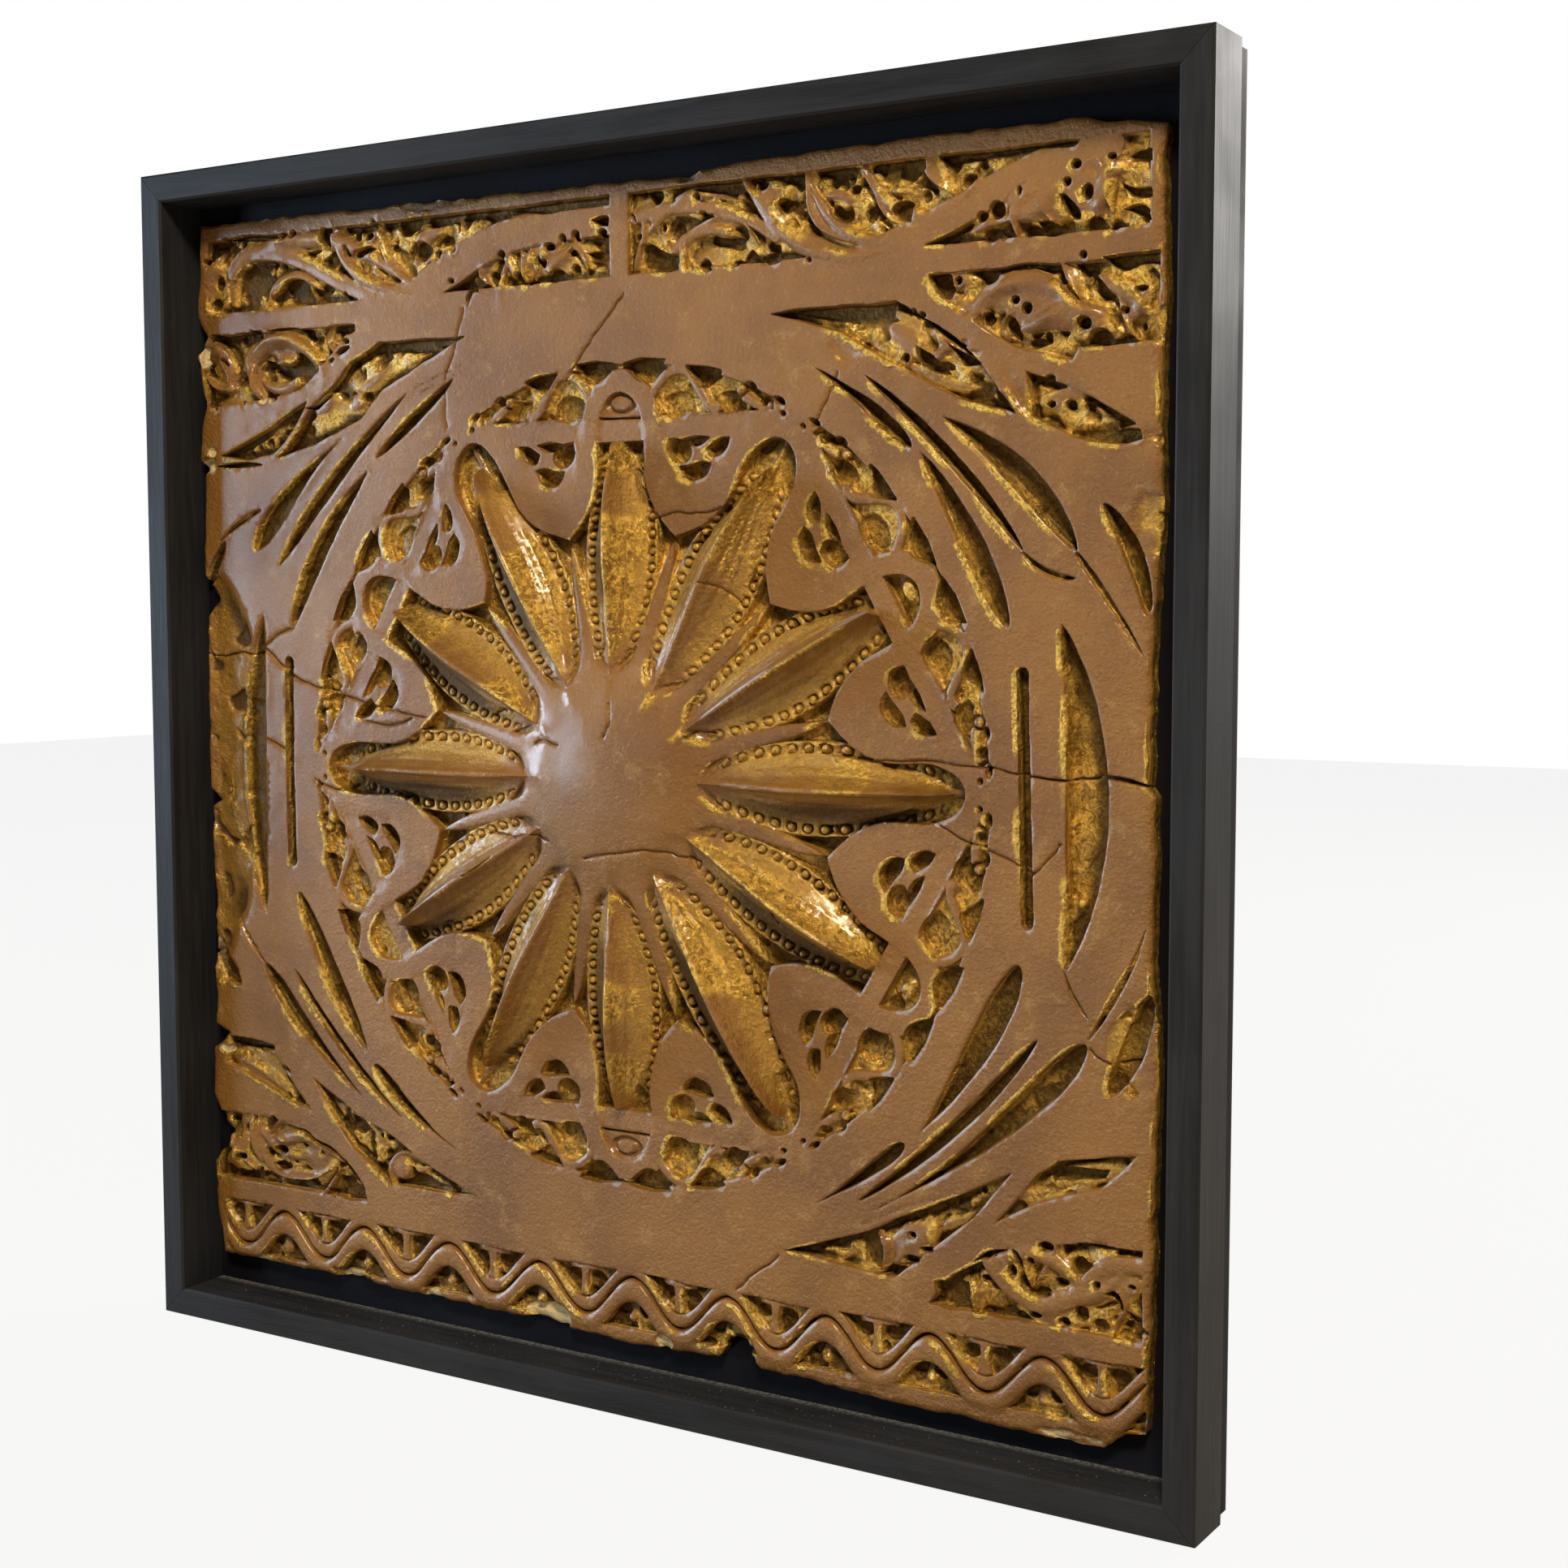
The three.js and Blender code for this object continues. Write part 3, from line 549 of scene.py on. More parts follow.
# Corners
# A blade row is start x, z, end x, z, bow outward, width, place of the widest point, in a corner's own
# quadrant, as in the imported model. A leaf row ends with its width and its height above the flats.
CORNERS = [
    {
        "side": 1, "end": 1,
        "blades": [
            (127, 243, 198, 191, 3, 7.5, 0.75), (167, 233, 268, 132, 5, 6.5, 0.55),
            (204, 188, 259, 90, 3, 13, 0.6),
            (216, 208, 300, 131, 8, 17, 0.6), (315, 157, 341, 97, 5, 10, 0.5),
        ],
        "grooves": [(299, 131, 341, 72, 1, 4, 0.3), (267, 132, 300, 117, -4, 4, 0.5)],
        "fields": [
            [(103, 271), (120, 273), (188, 273), (201, 266), (217, 255), (242, 235), (264, 206), (225, 217),
             (172, 245), (150, 258)],
            [(207, 286), (346, 286), (346, 241), (300, 240), (296, 233), (262, 242), (243, 248), (212, 273)],
            [(268, 230), (300, 219), (335, 198), (300, 191), (272, 205)],
        ],
        "leaves": [
            (182, 268, 252, 222, 3, 15, -1), (190, 240, 240, 222, -4, 11, -1.5),
            (228, 252, 300, 262, 21, 17, 2),
            (262, 250, 322, 246, 10, 19, 2.5), (300, 276, 343, 250, 7, 15, 1),
            (215, 279, 258, 262, -5, 11, -1),
            (279, 215, 318, 203, 2, 8, -1),
        ],
    },
    {
        "side": -1, "end": 1,
        "blades": [
            (133, 247, 200, 199, 0, 6.5, 0.55), (172, 240, 288, 130, 5, 8.5, 0.62),
            (206, 192, 277, 88, 7, 11, 0.6),
            (211, 223, 310, 141, 7, 17, 0.8), (338, 147, 357, 118, 0, 9, 0.6),
        ],
        "grooves": [(304, 168, 345, 146, 2, 3, 0.4)],
        "fields": [
            [(123, 273), (195, 274), (222, 262), (238, 247), (257, 236), (276, 217), (293, 201), (252, 210),
             (212, 225), (193, 243), (160, 257)],
            [(215, 287), (350, 287), (356, 280), (355, 238), (300, 241), (262, 247), (240, 261), (222, 275)],
            [(343, 205), (300, 221), (260, 239), (268, 222), (290, 205), (315, 201)],
        ],
        "leaves": [
            (222, 243, 186, 262, 4, 13, -1), (262, 232, 214, 228, -5, 11, -2),
            (246, 257, 318, 262, 21, 15, 2),
            (256, 268, 306, 256, -14, 12, 1), (298, 240, 308, 280, -8, 12, 2), (330, 244, 350, 284, 5, 16, 1),
        ],
    },
    {
        "side": -1, "end": -1,
        "blades": [
            (132, 255, 209, 203, 5, 8, 0.8), (185, 237, 280, 145, 6, 6.5, 0.6),
            (216, 195, 275, 91, 2, 13, 0.5),
            (210, 233, 308, 143, 6, 12, 0.75), (331, 160, 354, 136, 2, 12, 0.55),
        ],
        "grooves": [(305, 146, 352, 84, 3, 3, 0.4)],
        "fields": [
            [(117, 283), (168, 263), (193, 250), (220, 241), (266, 218), (248, 243), (230, 263), (197, 283)],
            [(217, 298), (358, 298), (352, 270), (356, 251), (300, 250), (262, 258), (235, 272), (220, 285)],
            [(343, 199), (300, 205), (285, 222), (264, 243), (285, 238), (310, 228), (348, 216)],
        ],
        "leaves": [
            (250, 234, 196, 262, 3, 12, -1.5), (204, 270, 160, 266, -5, 11, 0),
            (238, 276, 316, 276, -16, 15, 2),
            (262, 272, 322, 254, 10, 13, 1.5), (312, 286, 322, 246, 6, 12, 2), (332, 262, 352, 288, 5, 17, 1),
            (336, 205, 280, 232, 6, 10, -1.5),
        ],
    },
    {
        "side": 1, "end": -1,
        "blades": [
            (112, 263, 195, 206, 3, 7.5, 0.85), (163, 245, 279, 137, 6, 7, 0.6),
            (204, 200, 267, 97, 4, 15, 0.7),
            (173, 249, 308, 137, 8, 14, 0.8), (322, 164, 345, 106, 2, 13, 0.5),
        ],
        "grooves": [(309, 135, 341, 79, 1, 3, 0.4)],
        "fields": [
            [(112, 281), (172, 260), (200, 245), (233, 230), (266, 212), (238, 245), (220, 260), (188, 286)],
            [(208, 298), (343, 298), (343, 246), (305, 248), (262, 257), (228, 277), (213, 289)],
            [(252, 245), (265, 230), (280, 212), (292, 203), (340, 194), (318, 216), (280, 229)],
        ],
        "leaves": [
            (184, 276, 214, 250, 7, 16, 0), (240, 240, 196, 254, -4, 10, -1.5),
            (246, 272, 312, 280, -18, 14, 2),
            (284, 280, 336, 256, 8, 17, 1.5), (262, 260, 292, 250, 5, 11, 1), (226, 292, 250, 276, 4, 12, 0),
            (270, 232, 322, 205, 4, 9, -2),
        ],
    },
]
BLADE_DEPTH = 7.2
GROOVE_DEPTH = 3
# A blade at least this wide is a lens with fuller ends
LENS_WIDTH = 16
# The two slots beside the medallion, and the lenses outside them
SLOTS = [([(268, 65), (270, 0), (272, -73)], 3.8), ([(-280, 65), (-281, 0), (-280, -70)], 4.0)]
FLANKS = [(291, 93, 295, -98, 15, 25, 0.5), (-306, -108, -304, 97, 11, 25, 0.5)]

# The left side is worn down to a hollow beside its slot
SCOOP = [
    (-362, 140), (-334, 122), (-312, 84), (-304, 0), (-310, -70), (-322, -112), (-340, -140), (-362, -150),
]


def spindle(row, steps=12):
    """The middle line of a bowed blade or leaf row."""
    x0, z0, x1, z1, bow = row[:5]
    t = np.linspace(0, 1, steps + 1)
    length = math.hypot(x1 - x0, z1 - z0)
    lift = 4 * t * (1 - t) * bow / length
    return np.stack([x0 + (x1 - x0) * t - (z1 - z0) * lift, z0 + (z1 - z0) * t + (x1 - x0) * lift], 1)


def cut_blade(row, depth=BLADE_DEPTH):
    """Cuts a bowed, pointed slot with sloped walls and a slightly raised lip."""
    line = spindle(row)
    width, widest = row[5:]
    share_of_width, bluntness = (0.6, 0.45) if width < LENS_WIDTH else (0.5, 0.62)
    half = width * share_of_width + 0.3
    part, x, z = window(line, half + 3)
    away, share = distance_along(line, x, z)
    edge = pointed(share, half, widest, bluntness) - away + 0.55 * edge_wander[part]
    wall = 1.4 + 0.26 * half
    sink_to(part, ease(edge / wall), -depth + 0.9 * lumps[part])
    height[part] += 0.3 * bump(edge + 0.9, 0.8) * np.clip(rim_noise[part], 0, 1)


def cut_slot(line, half):
    """Cuts a slot with parallel sides and round ends."""
    line = smooth_curve(line)
    part, x, z = window(line, half + 3)
    away, _ = distance_along(line, x, z)
    edge = half - away + 0.5 * edge_wander[part]
    sink_to(part, ease(edge / 1.1), -BLADE_DEPTH + 0.9 * lumps[part])


def plant_field(outline, depth=3.0):
    """A sunk area of foliage: a lumpy ground that drops along its border here and there."""
    ring = np.asarray(outline, float)
    part, x, z = window(ring, 3)
    edge = depth_inside(ring, x, z) + 0.8 * edge_wander[part]
    low = ease((6.5 - edge) / 4) * ease(1.2 * patches[part] + 0.55)
    ground = -depth + 1.5 * leafy[part] - 3.4 * low + 0.8 * burrs[part] - 3.4 * pores[part]
    sink_to(part, ease(edge / 1.7), ground, 0.9)


def lay_leaf(row):
    """Lays a bowed leaf with soft folds over the ground."""
    line = spindle(row)
    half, top = row[5] / 2, row[6]
    part, x, z = window(line, half + 3)
    away, share = distance_along(line, x, z)
    rise = swell(share, 0.02)
    width = half * rise**0.55 + 0.9 * edge_wander[part]
    s = np.clip(away / np.maximum(width, 0.6), 0, 1.3)
    folds = 0.3 * np.cos(away / 2.2 + 2 * leafy[part]) * ease(away / 2)
    target = -4 + (top + 3.6) * rise**0.4 * (1 - 0.75 * s**1.6) + folds
    raise_to(part, ease((width - away) / 1.8), target, 0.4 + 0.4 * s)


def placed(row, side, end):
    """A blade or leaf row, moved from the top right corner to another one."""
    x0, z0, x1, z1, bow, *rest = row
    return (x0 * side, z0 * end, x1 * side, z1 * end, bow * side * end, *rest)


def corner_work():
    """The fields, leaves and blades of the four corners, and the slots and lenses between them."""
    for corner in CORNERS:
        side, end = corner["side"], corner["end"]
        for outline in corner["fields"]:
            plant_field([(x * side, z * end) for x, z in outline])
        for row in corner["leaves"]:
            lay_leaf(placed(row, side, end))
        for row in corner["blades"]:
            cut_blade(placed(row, side, end))
        for row in corner["grooves"]:
            cut_blade(placed(row, side, end), GROOVE_DEPTH)
    part, x, z = window(SCOOP, 3)
    edge = depth_inside(np.array(SCOOP, float), x, z) + 3 * edge_wander[part]
    sink_to(part, ease(edge / 12), -3.2 + 1.2 * leafy[part], 0.5)
    for row in FLANKS:
        cut_blade(row)
    for line, half in SLOTS:
        cut_slot(line, half)


# Carving inside the sunk areas: pits are outlines, ovals are x, z, half width, half height and tilt,
# holes are x, z and radius, slots are a line and its half width, and ridges are a line, its half width
# and its lift. Mounds are ovals with a top, bands are a line, its half width, its top and its crown, and
# crests are a line, the widths of the gentle and the steep side, the top and the drop.
PIT_DEPTH = 8.4
SLOT_DEPTH = 7.4
OVAL_DEPTH = 7.6
CARVED_WALL = 1.6
BAND_GOLD = 0.38
RIDGE_GOLD = 0.4
DETAIL = [
    {   # top left corner
        "pits": [
            [(-349, 288), (-338, 287), (-332, 280), (-336, 277), (-342, 282)],
            [(-128, 272), (-160, 273), (-191, 273), (-193, 264), (-180, 266), (-165, 264), (-145, 268)],
            [(-262, 234), (-250, 238), (-238, 245), (-240, 240), (-252, 232)],
            [(-311, 288), (-300, 288), (-300, 281), (-306, 282)],
            [(-272, 287), (-258, 287), (-254, 282), (-256, 277), (-262, 280), (-264, 284)],
            [(-232, 286), (-217, 287), (-216, 282), (-224, 280)],
            [(-300, 268), (-294, 262), (-288, 258), (-283, 254), (-275, 252), (-268, 255), (-264, 250),
             (-258, 252), (-256, 262), (-262, 270), (-270, 272), (-272, 265), (-280, 263), (-290, 266)],
            [(-318, 262), (-313, 258), (-312, 250), (-316, 250), (-319, 256)],
            [(-341, 271), (-335, 272), (-331, 266), (-336, 264)],
        ],
        "ovals": [
            (-225, 276, 3, 2, 0), (-228, 270, 6, 2, 20), (-238, 264, 3, 2, 30), (-290, 243, 3, 2.5, 0),
            (-289, 211, 2, 3, 0), (-315, 206, 3, 1.8, 0), (-277, 224, 4, 3, 30), (-192, 264, 2.2, 2.6, 0),
            (-231, 241.5, 5, 2, -20), (-197, 270, 4, 2.2, 0), (-358, 243, 3, 3, 0), (-346, 238, 3.5, 2.4, 0),
            (-320, 240, 3, 2.2, 0),
        ],
        "holes": [(-265, 265, 4.2), (-296, 264, 2.4), (-297, 212, 3.6), (-209, 239, 3)],
        "slots": [
            ([(-348, 198), (-320, 198.5), (-300, 198)], 2.2), ([(-300, 287), (-280, 287), (-265, 287)], 1.3),
        ],
        "ridges": [
            ([(-318, 262), (-312, 272), (-302, 279), (-288, 282), (-272, 280), (-258, 273), (-250, 265),
              (-245, 258)],
             4, 3.2),
            ([(-300, 272), (-307, 262), (-308, 250), (-304, 240)], 2.2, 2.6),
            ([(-290, 262), (-280, 266), (-270, 264)], 1.8, 2.6),
            ([(-355, 258), (-345, 252), (-335, 250), (-320, 248)], 3, 2.4),
            ([(-350, 272), (-342, 278), (-334, 274)], 3.2, 2.2),
            ([(-328, 250), (-326, 256), (-322, 264)], 3, -2.4),
        ],
        "mounds": [(-345, 272, 13, 11, 0, -1.4), (-282, 268, 30, 13, -12, -1.2), (-246, 236, 16, 9, 25, -1.0),
                   (-216, 236, 10, 8, 30, -0.8), (-330, 240, 26, 8, 8, -1.8)],
        "crests": [
            ([(-244, 258), (-255, 271), (-268, 278), (-286, 282), (-299, 279), (-312, 270), (-318, 262)],
             12, 1.6, -0.2, 2.2),
            ([(-290, 263), (-295, 267.5), (-303, 262), (-305, 251), (-303, 238)], 8, 1.6, -0.5, 3),
            ([(-354, 259), (-343, 251), (-330, 250), (-322, 256)], 9, 1.6, -1.2, 2.5),
            ([(-350, 286), (-357, 276), (-353, 266)], 9, 1.4, -1, 3),
            ([(-237, 287), (-242, 279), (-236, 270), (-226, 266)], 7, 1.6, -0.4, 3),
        ],
        "bands": [
            ([(-362, 219), (-330, 223), (-300, 228), (-282, 235), (-265, 244), (-250, 254), (-236, 266),
              (-215, 285)],
             4.4, 0, 0.7),
            ([(-296, 200), (-282, 209), (-270, 221), (-258, 236), (-240, 252), (-226, 262), (-212, 268)],
             3.3, 0.2, 0.8),
        ],
    },
    {   # top right corner
        "pits": [
            [(218, 250), (224, 245), (232, 241), (238, 237), (240, 235), (230, 234), (225, 240)],
            [(112, 271), (130, 273), (160, 273), (186, 272), (184, 262), (165, 262), (145, 264), (128, 268)],
            [(200, 248), (212, 240), (222, 230), (214, 231), (202, 238)],
            [(208, 286), (220, 286), (224, 280), (222, 272), (216, 272), (210, 280)],
            [(255, 255), (258, 260), (262, 258), (265, 250), (264, 246), (258, 250)],
            [(303, 242), (307, 248), (315, 249), (318, 244), (317, 240)],
            [(304, 280), (311, 277), (320, 266), (313, 264), (306, 270)],
            [(313, 287), (346, 288), (346, 280), (335, 282), (322, 279)],
            [(293, 195), (300, 197), (335, 196), (337, 190), (325, 188), (305, 190)],
        ],
        "ovals": [
            (193, 241, 3, 3, 0), (219, 235, 5, 2.5, -20), (246, 281, 6, 4, 0), (262, 268, 3, 2.5, 0),
            (289, 278, 3, 4, 0), (281, 246, 2.5, 4, 0), (275, 244, 6, 3, 0), (303, 253, 4.5, 3.5, 0),
            (335, 269, 4, 2, 0), (336, 249, 2, 2.5, 0), (295, 210, 3.4, 3, 0), (306, 209, 3, 4, 0),
            (283, 211, 3, 2, 0), (283, 224, 4, 3, 0), (205, 264, 3, 2, -30),
        ],
        "holes": [
            (199, 266, 2), (206.5, 239, 2.6), (227, 281, 2.5), (245, 259, 3.4), (269, 263, 3), (302, 289, 2),
            (326, 258, 2.2),
        ],
        "slots": [
            ([(250, 285), (270, 285.5), (286, 285)], 1.9),
            ([(200, 265), (214, 256), (228, 246), (240, 235)], 2),
        ],
        "ridges": [
            ([(280, 275), (300, 262), (320, 258)], 3.2, 2.6),
            ([(212, 238), (217, 243), (222, 246)], 2.6, 2.2),
            ([(270, 252), (283, 258), (296, 266)], 3.5, 2), ([(247, 216), (256, 220), (264, 209)], 2.4, 1.6),
            ([(238, 268), (248, 274), (262, 276), (276, 272)], 3, 2),
            ([(225, 262), (236, 258), (244, 250)], 2.4, 1.8),
            ([(325, 250), (334, 258), (340, 268)], 2.8, 1.8),
        ],
        "mounds": [(270, 265, 31, 15, -14, -0.2), (302, 254, 21, 11, -35, -0.7), (335, 262, 14, 15, 0, -1.2),
                   (222, 262, 14, 9, 40, -0.9), (224, 281, 18, 7, 0, -0.8), (196, 250, 22, 9, -35, -0.6),
                   (290, 213, 20, 8, 20, -1.0)],
        "crests": [
            ([(288, 290), (292, 279), (300, 266)], 8, 2, 0.1, 3),
            ([(321, 273), (324, 262), (327, 253), (333, 242)], 8, 2, -0.2, 4),
            ([(262, 280), (252, 276), (244, 268), (241, 259)], 10, 1.6, -0.1, 2),
            ([(262, 262), (255, 258), (254, 251), (259, 247)], 6, 1.4, 0.1, 3),
        ],
        "bands": [
            ([(204, 287), (216, 270), (232, 257), (250, 245), (268, 236), (290, 226), (318, 212),
              (345, 196)], 5, 0, 0.6),
        ],
    },
    {   # bottom left corner
        "pits": [
            [(-312, -272), (-306, -272), (-305, -279), (-311, -279)],
            [(-232, -240), (-222, -243), (-215, -248), (-222, -251), (-230, -249)],
            [(-245, -283), (-232, -285), (-220, -290), (-222, -298), (-240, -298)],
            [(-345, -196), (-322, -197), (-300, -199), (-300, -204), (-330, -204), (-345, -203)],
            [(-306, -283), (-298, -280), (-286, -281), (-290, -286), (-300, -287)],
            [(-180, -268), (-168, -272), (-150, -279), (-165, -281), (-180, -279)],
        ],
        "ovals": [
            (-328, -262, 3.4, 4.6, 0), (-295, -272, 7, 3.4, 0), (-284, -279, 3, 2, 0), (-335, -282, 5, 3, 0),
            (-348, -292, 4, 4, 0), (-266, -292, 4, 2.5, 0), (-314, -292, 4, 2.6, 0), (-342, -256, 4, 2, 0),
            (-275, -266, 3, 2, 0), (-250, -266, 4, 2, -20), (-200, -262, 3.5, 2.2, 30),
            (-290, -215, 5, 2, -30),
        ],
        "holes": [
            (-303, -252, 2.7), (-318, -290, 2.2), (-336, -268, 2.2), (-258, -270, 2.2), (-206, -252, 2.2),
        ],
        "slots": [
            ([(-290, -256), (-275, -256), (-262, -262), (-245, -268), (-235, -277), (-225, -280)], 2),
            ([(-256, -290), (-250, -296), (-244, -300)], 1.6),
        ],
        "ridges": [
            ([(-345, -270), (-340, -278), (-344, -286)], 3, 2.2),
            ([(-300, -262), (-290, -266), (-280, -263)], 2, 2.6),
            ([(-340, -212), (-320, -216), (-300, -226), (-280, -238)], 3, 1.8),
        ],
        "mounds": [
            (-262, -272, 21, 13, 28, -0.8), (-350, -257, 11, 9, 0, -1.5), (-188, -270, 11, 11, 0, -0.2),
            (-318, -222, 34, 11, -22, -2.0), (-335, -285, 18, 9, 0, -1.2),
        ],
        "crests": [
            ([(-304, -236), (-314, -243), (-318, -257), (-317, -271), (-310, -283), (-298, -289.5),
              (-282, -290.5), (-265, -288), (-252, -281)], 9, 1.9, 0.4, 2.6),
            ([(-270, -254), (-291, -249.5), (-303, -257), (-309, -267), (-307, -275)], 7, 1.7, 0.2, 3.2),
            ([(-242, -279), (-249, -289), (-256, -297), (-263, -305)], 9, 2.2, 0.2, 4),
            ([(-164, -266), (-178, -260), (-190, -262), (-197, -271), (-195, -284)], 8, 1.8, 0.2, 3.4),
            ([(-345, -268), (-338, -280), (-322, -289), (-306, -294)], 7, 1.6, -0.5, 3),
        ],
        "bands": [
            ([(-352, -238), (-322, -240), (-300, -244), (-276, -249), (-250, -258), (-232, -270),
              (-216, -288)],
             4.6, 0, 0.7),
        ],
    },
    {   # bottom right corner
        "pits": [
            [(264, -257), (269, -258), (272, -266), (270, -271), (266, -262)],
            [(333, -281), (339, -285), (346, -291), (346, -294), (338, -290), (333, -285)],
            [(215, -283), (228, -281), (238, -284), (236, -297), (218, -298)],
            [(165, -263), (174, -262), (182, -268), (180, -280), (168, -280)],
            [(320, -274), (326, -271), (331, -275), (332, -282), (328, -283), (327, -278)],
            [(286, -209), (300, -206), (322, -205), (318, -211), (300, -214), (286, -216)],
        ],
        "ovals": [
            (285, -253, 5, 3, 0), (264, -270, 3, 4, 0), (271, -275, 3, 4, 0), (305, -261, 5, 5, 0),
            (294, -272, 5, 2.5, 0), (306, -288, 4, 5, 0), (296, -294, 4, 3, 0), (317, -293, 5, 4, 0),
            (247, -277, 3, 2, 0), (262, -293, 4, 2, 0), (298, -213, 4, 2, 0), (210, -266, 5, 2, 0),
            (200, -273, 5, 2.5, 0), (200, -259, 3.5, 2.5, 0), (333, -249, 3, 2, 0), (278, -293, 4, 2.4, 0),
            (336, -268, 3, 2, 0), (248, -264, 4, 2, 20),
        ],
        "holes": [(212, -245, 2.6), (245, -227, 2.4), (276, -262, 2), (316, -270, 2.2)],
        "slots": [
            ([(303, -248), (318, -248), (332, -248)], 1.8), ([(240, -268), (250, -262), (262, -258)], 1.7),
        ],
        "ridges": [
            ([(239, -280), (240, -288), (239, -297)], 2, 2.2),
            ([(183, -262), (183, -272), (181, -282)], 2, 2),
            ([(186, -280), (196, -268), (214, -254)], 3, 1.8),
        ],
        "mounds": [
            (262, -272, 16, 12, -20, -0.9), (198, -262, 20, 11, 35, -0.8), (330, -268, 17, 12, 20, -0.9),
            (290, -292, 26, 8, 0, -1.2), (312, -208, 26, 8, 12, -1.8), (262, -234, 16, 8, 45, -1.6),
        ],
        "crests": [
            ([(292, -246), (289, -257), (283, -268), (277, -277)], 7, 2, 0.2, 3.2),
            ([(267, -255), (272, -266), (276, -277)], 5, 1.8, 0.1, 3),
            ([(238, -281), (241, -289), (240, -299)], 6, 1.8, 0, 3),
            ([(319, -274), (329, -271.5), (332, -280), (327, -290), (326, -299)], 5, 1.6, 0.1, 2.6),
            ([(178, -261), (182, -270), (180, -282)], 7, 1.8, 0, 2.5),
        ],
        "bands": [
            ([(249, -266), (259, -277), (271, -284.5), (283, -287), (295, -283), (305, -276), (314, -265),
              (327, -257), (348, -256)], 6, 0.4, 1.8),
            ([(208, -296), (222, -277), (240, -262), (262, -250), (290, -240), (318, -231), (346, -224)],
             5, 0, 0.6),
        ],
    },
]


def carve(area):
    """Carves one area's details, the raised ones first."""
    lay_mounds(area["mounds"])
    for row in area["crests"]:
        lay_crest(*row)
    for row in area["bands"]:
        lay_band(*row, BAND_GOLD)
    for row in area["ridges"]:
        raise_line(*row, RIDGE_GOLD)
    for ring in area["pits"]:
        sink_ring(ring, PIT_DEPTH, CARVED_WALL)
    for row in area["slots"]:
        sink_line(*row, SLOT_DEPTH, CARVED_WALL)
    sink_ovals(area["ovals"], OVAL_DEPTH, CARVED_WALL)
    drill(area["holes"])


# Top and bottom strips
STRIP_LOW = 301
STRIP_HIGH = 350.5
STRIP_PANELS = [
    {
        "from": -351, "to": -10,
        "leaves": [
            (-330, 330, -170, 306, 26, 15, 2), (-238, 349, -168, 306, -14, 12, 2.5),
            (-296, 306, -246, 310, 13, 12, 1),
            (-350, 306, -336, 344, 6, 14, 0), (-166, 316, -136, 342, 8, 15, 0.5),
            (-212, 322, -190, 344, 7, 13, 0),
            (-96, 322, -84, 304, 4, 13, 1), (-70, 304, -30, 330, 10, 16, 0.5),
        ],
    },
    {
        "from": 3, "to": 340,
        "leaves": [
            (12, 318, 92, 336, 17, 12, 1), (86, 349, 200, 305, -24, 13, 2.5),
            (128, 349, 212, 312, -22, 12, 2),
            (168, 349, 222, 318, -12, 12, 1.5), (30, 304, 84, 316, 13, 14, 0.5), (8, 304, 14, 344, -3, 9, 0),
            (256, 306, 286, 330, 7, 15, 1), (312, 306, 320, 342, 4, 17, 1), (108, 322, 122, 344, 6, 12, 0),
        ],
    },
]
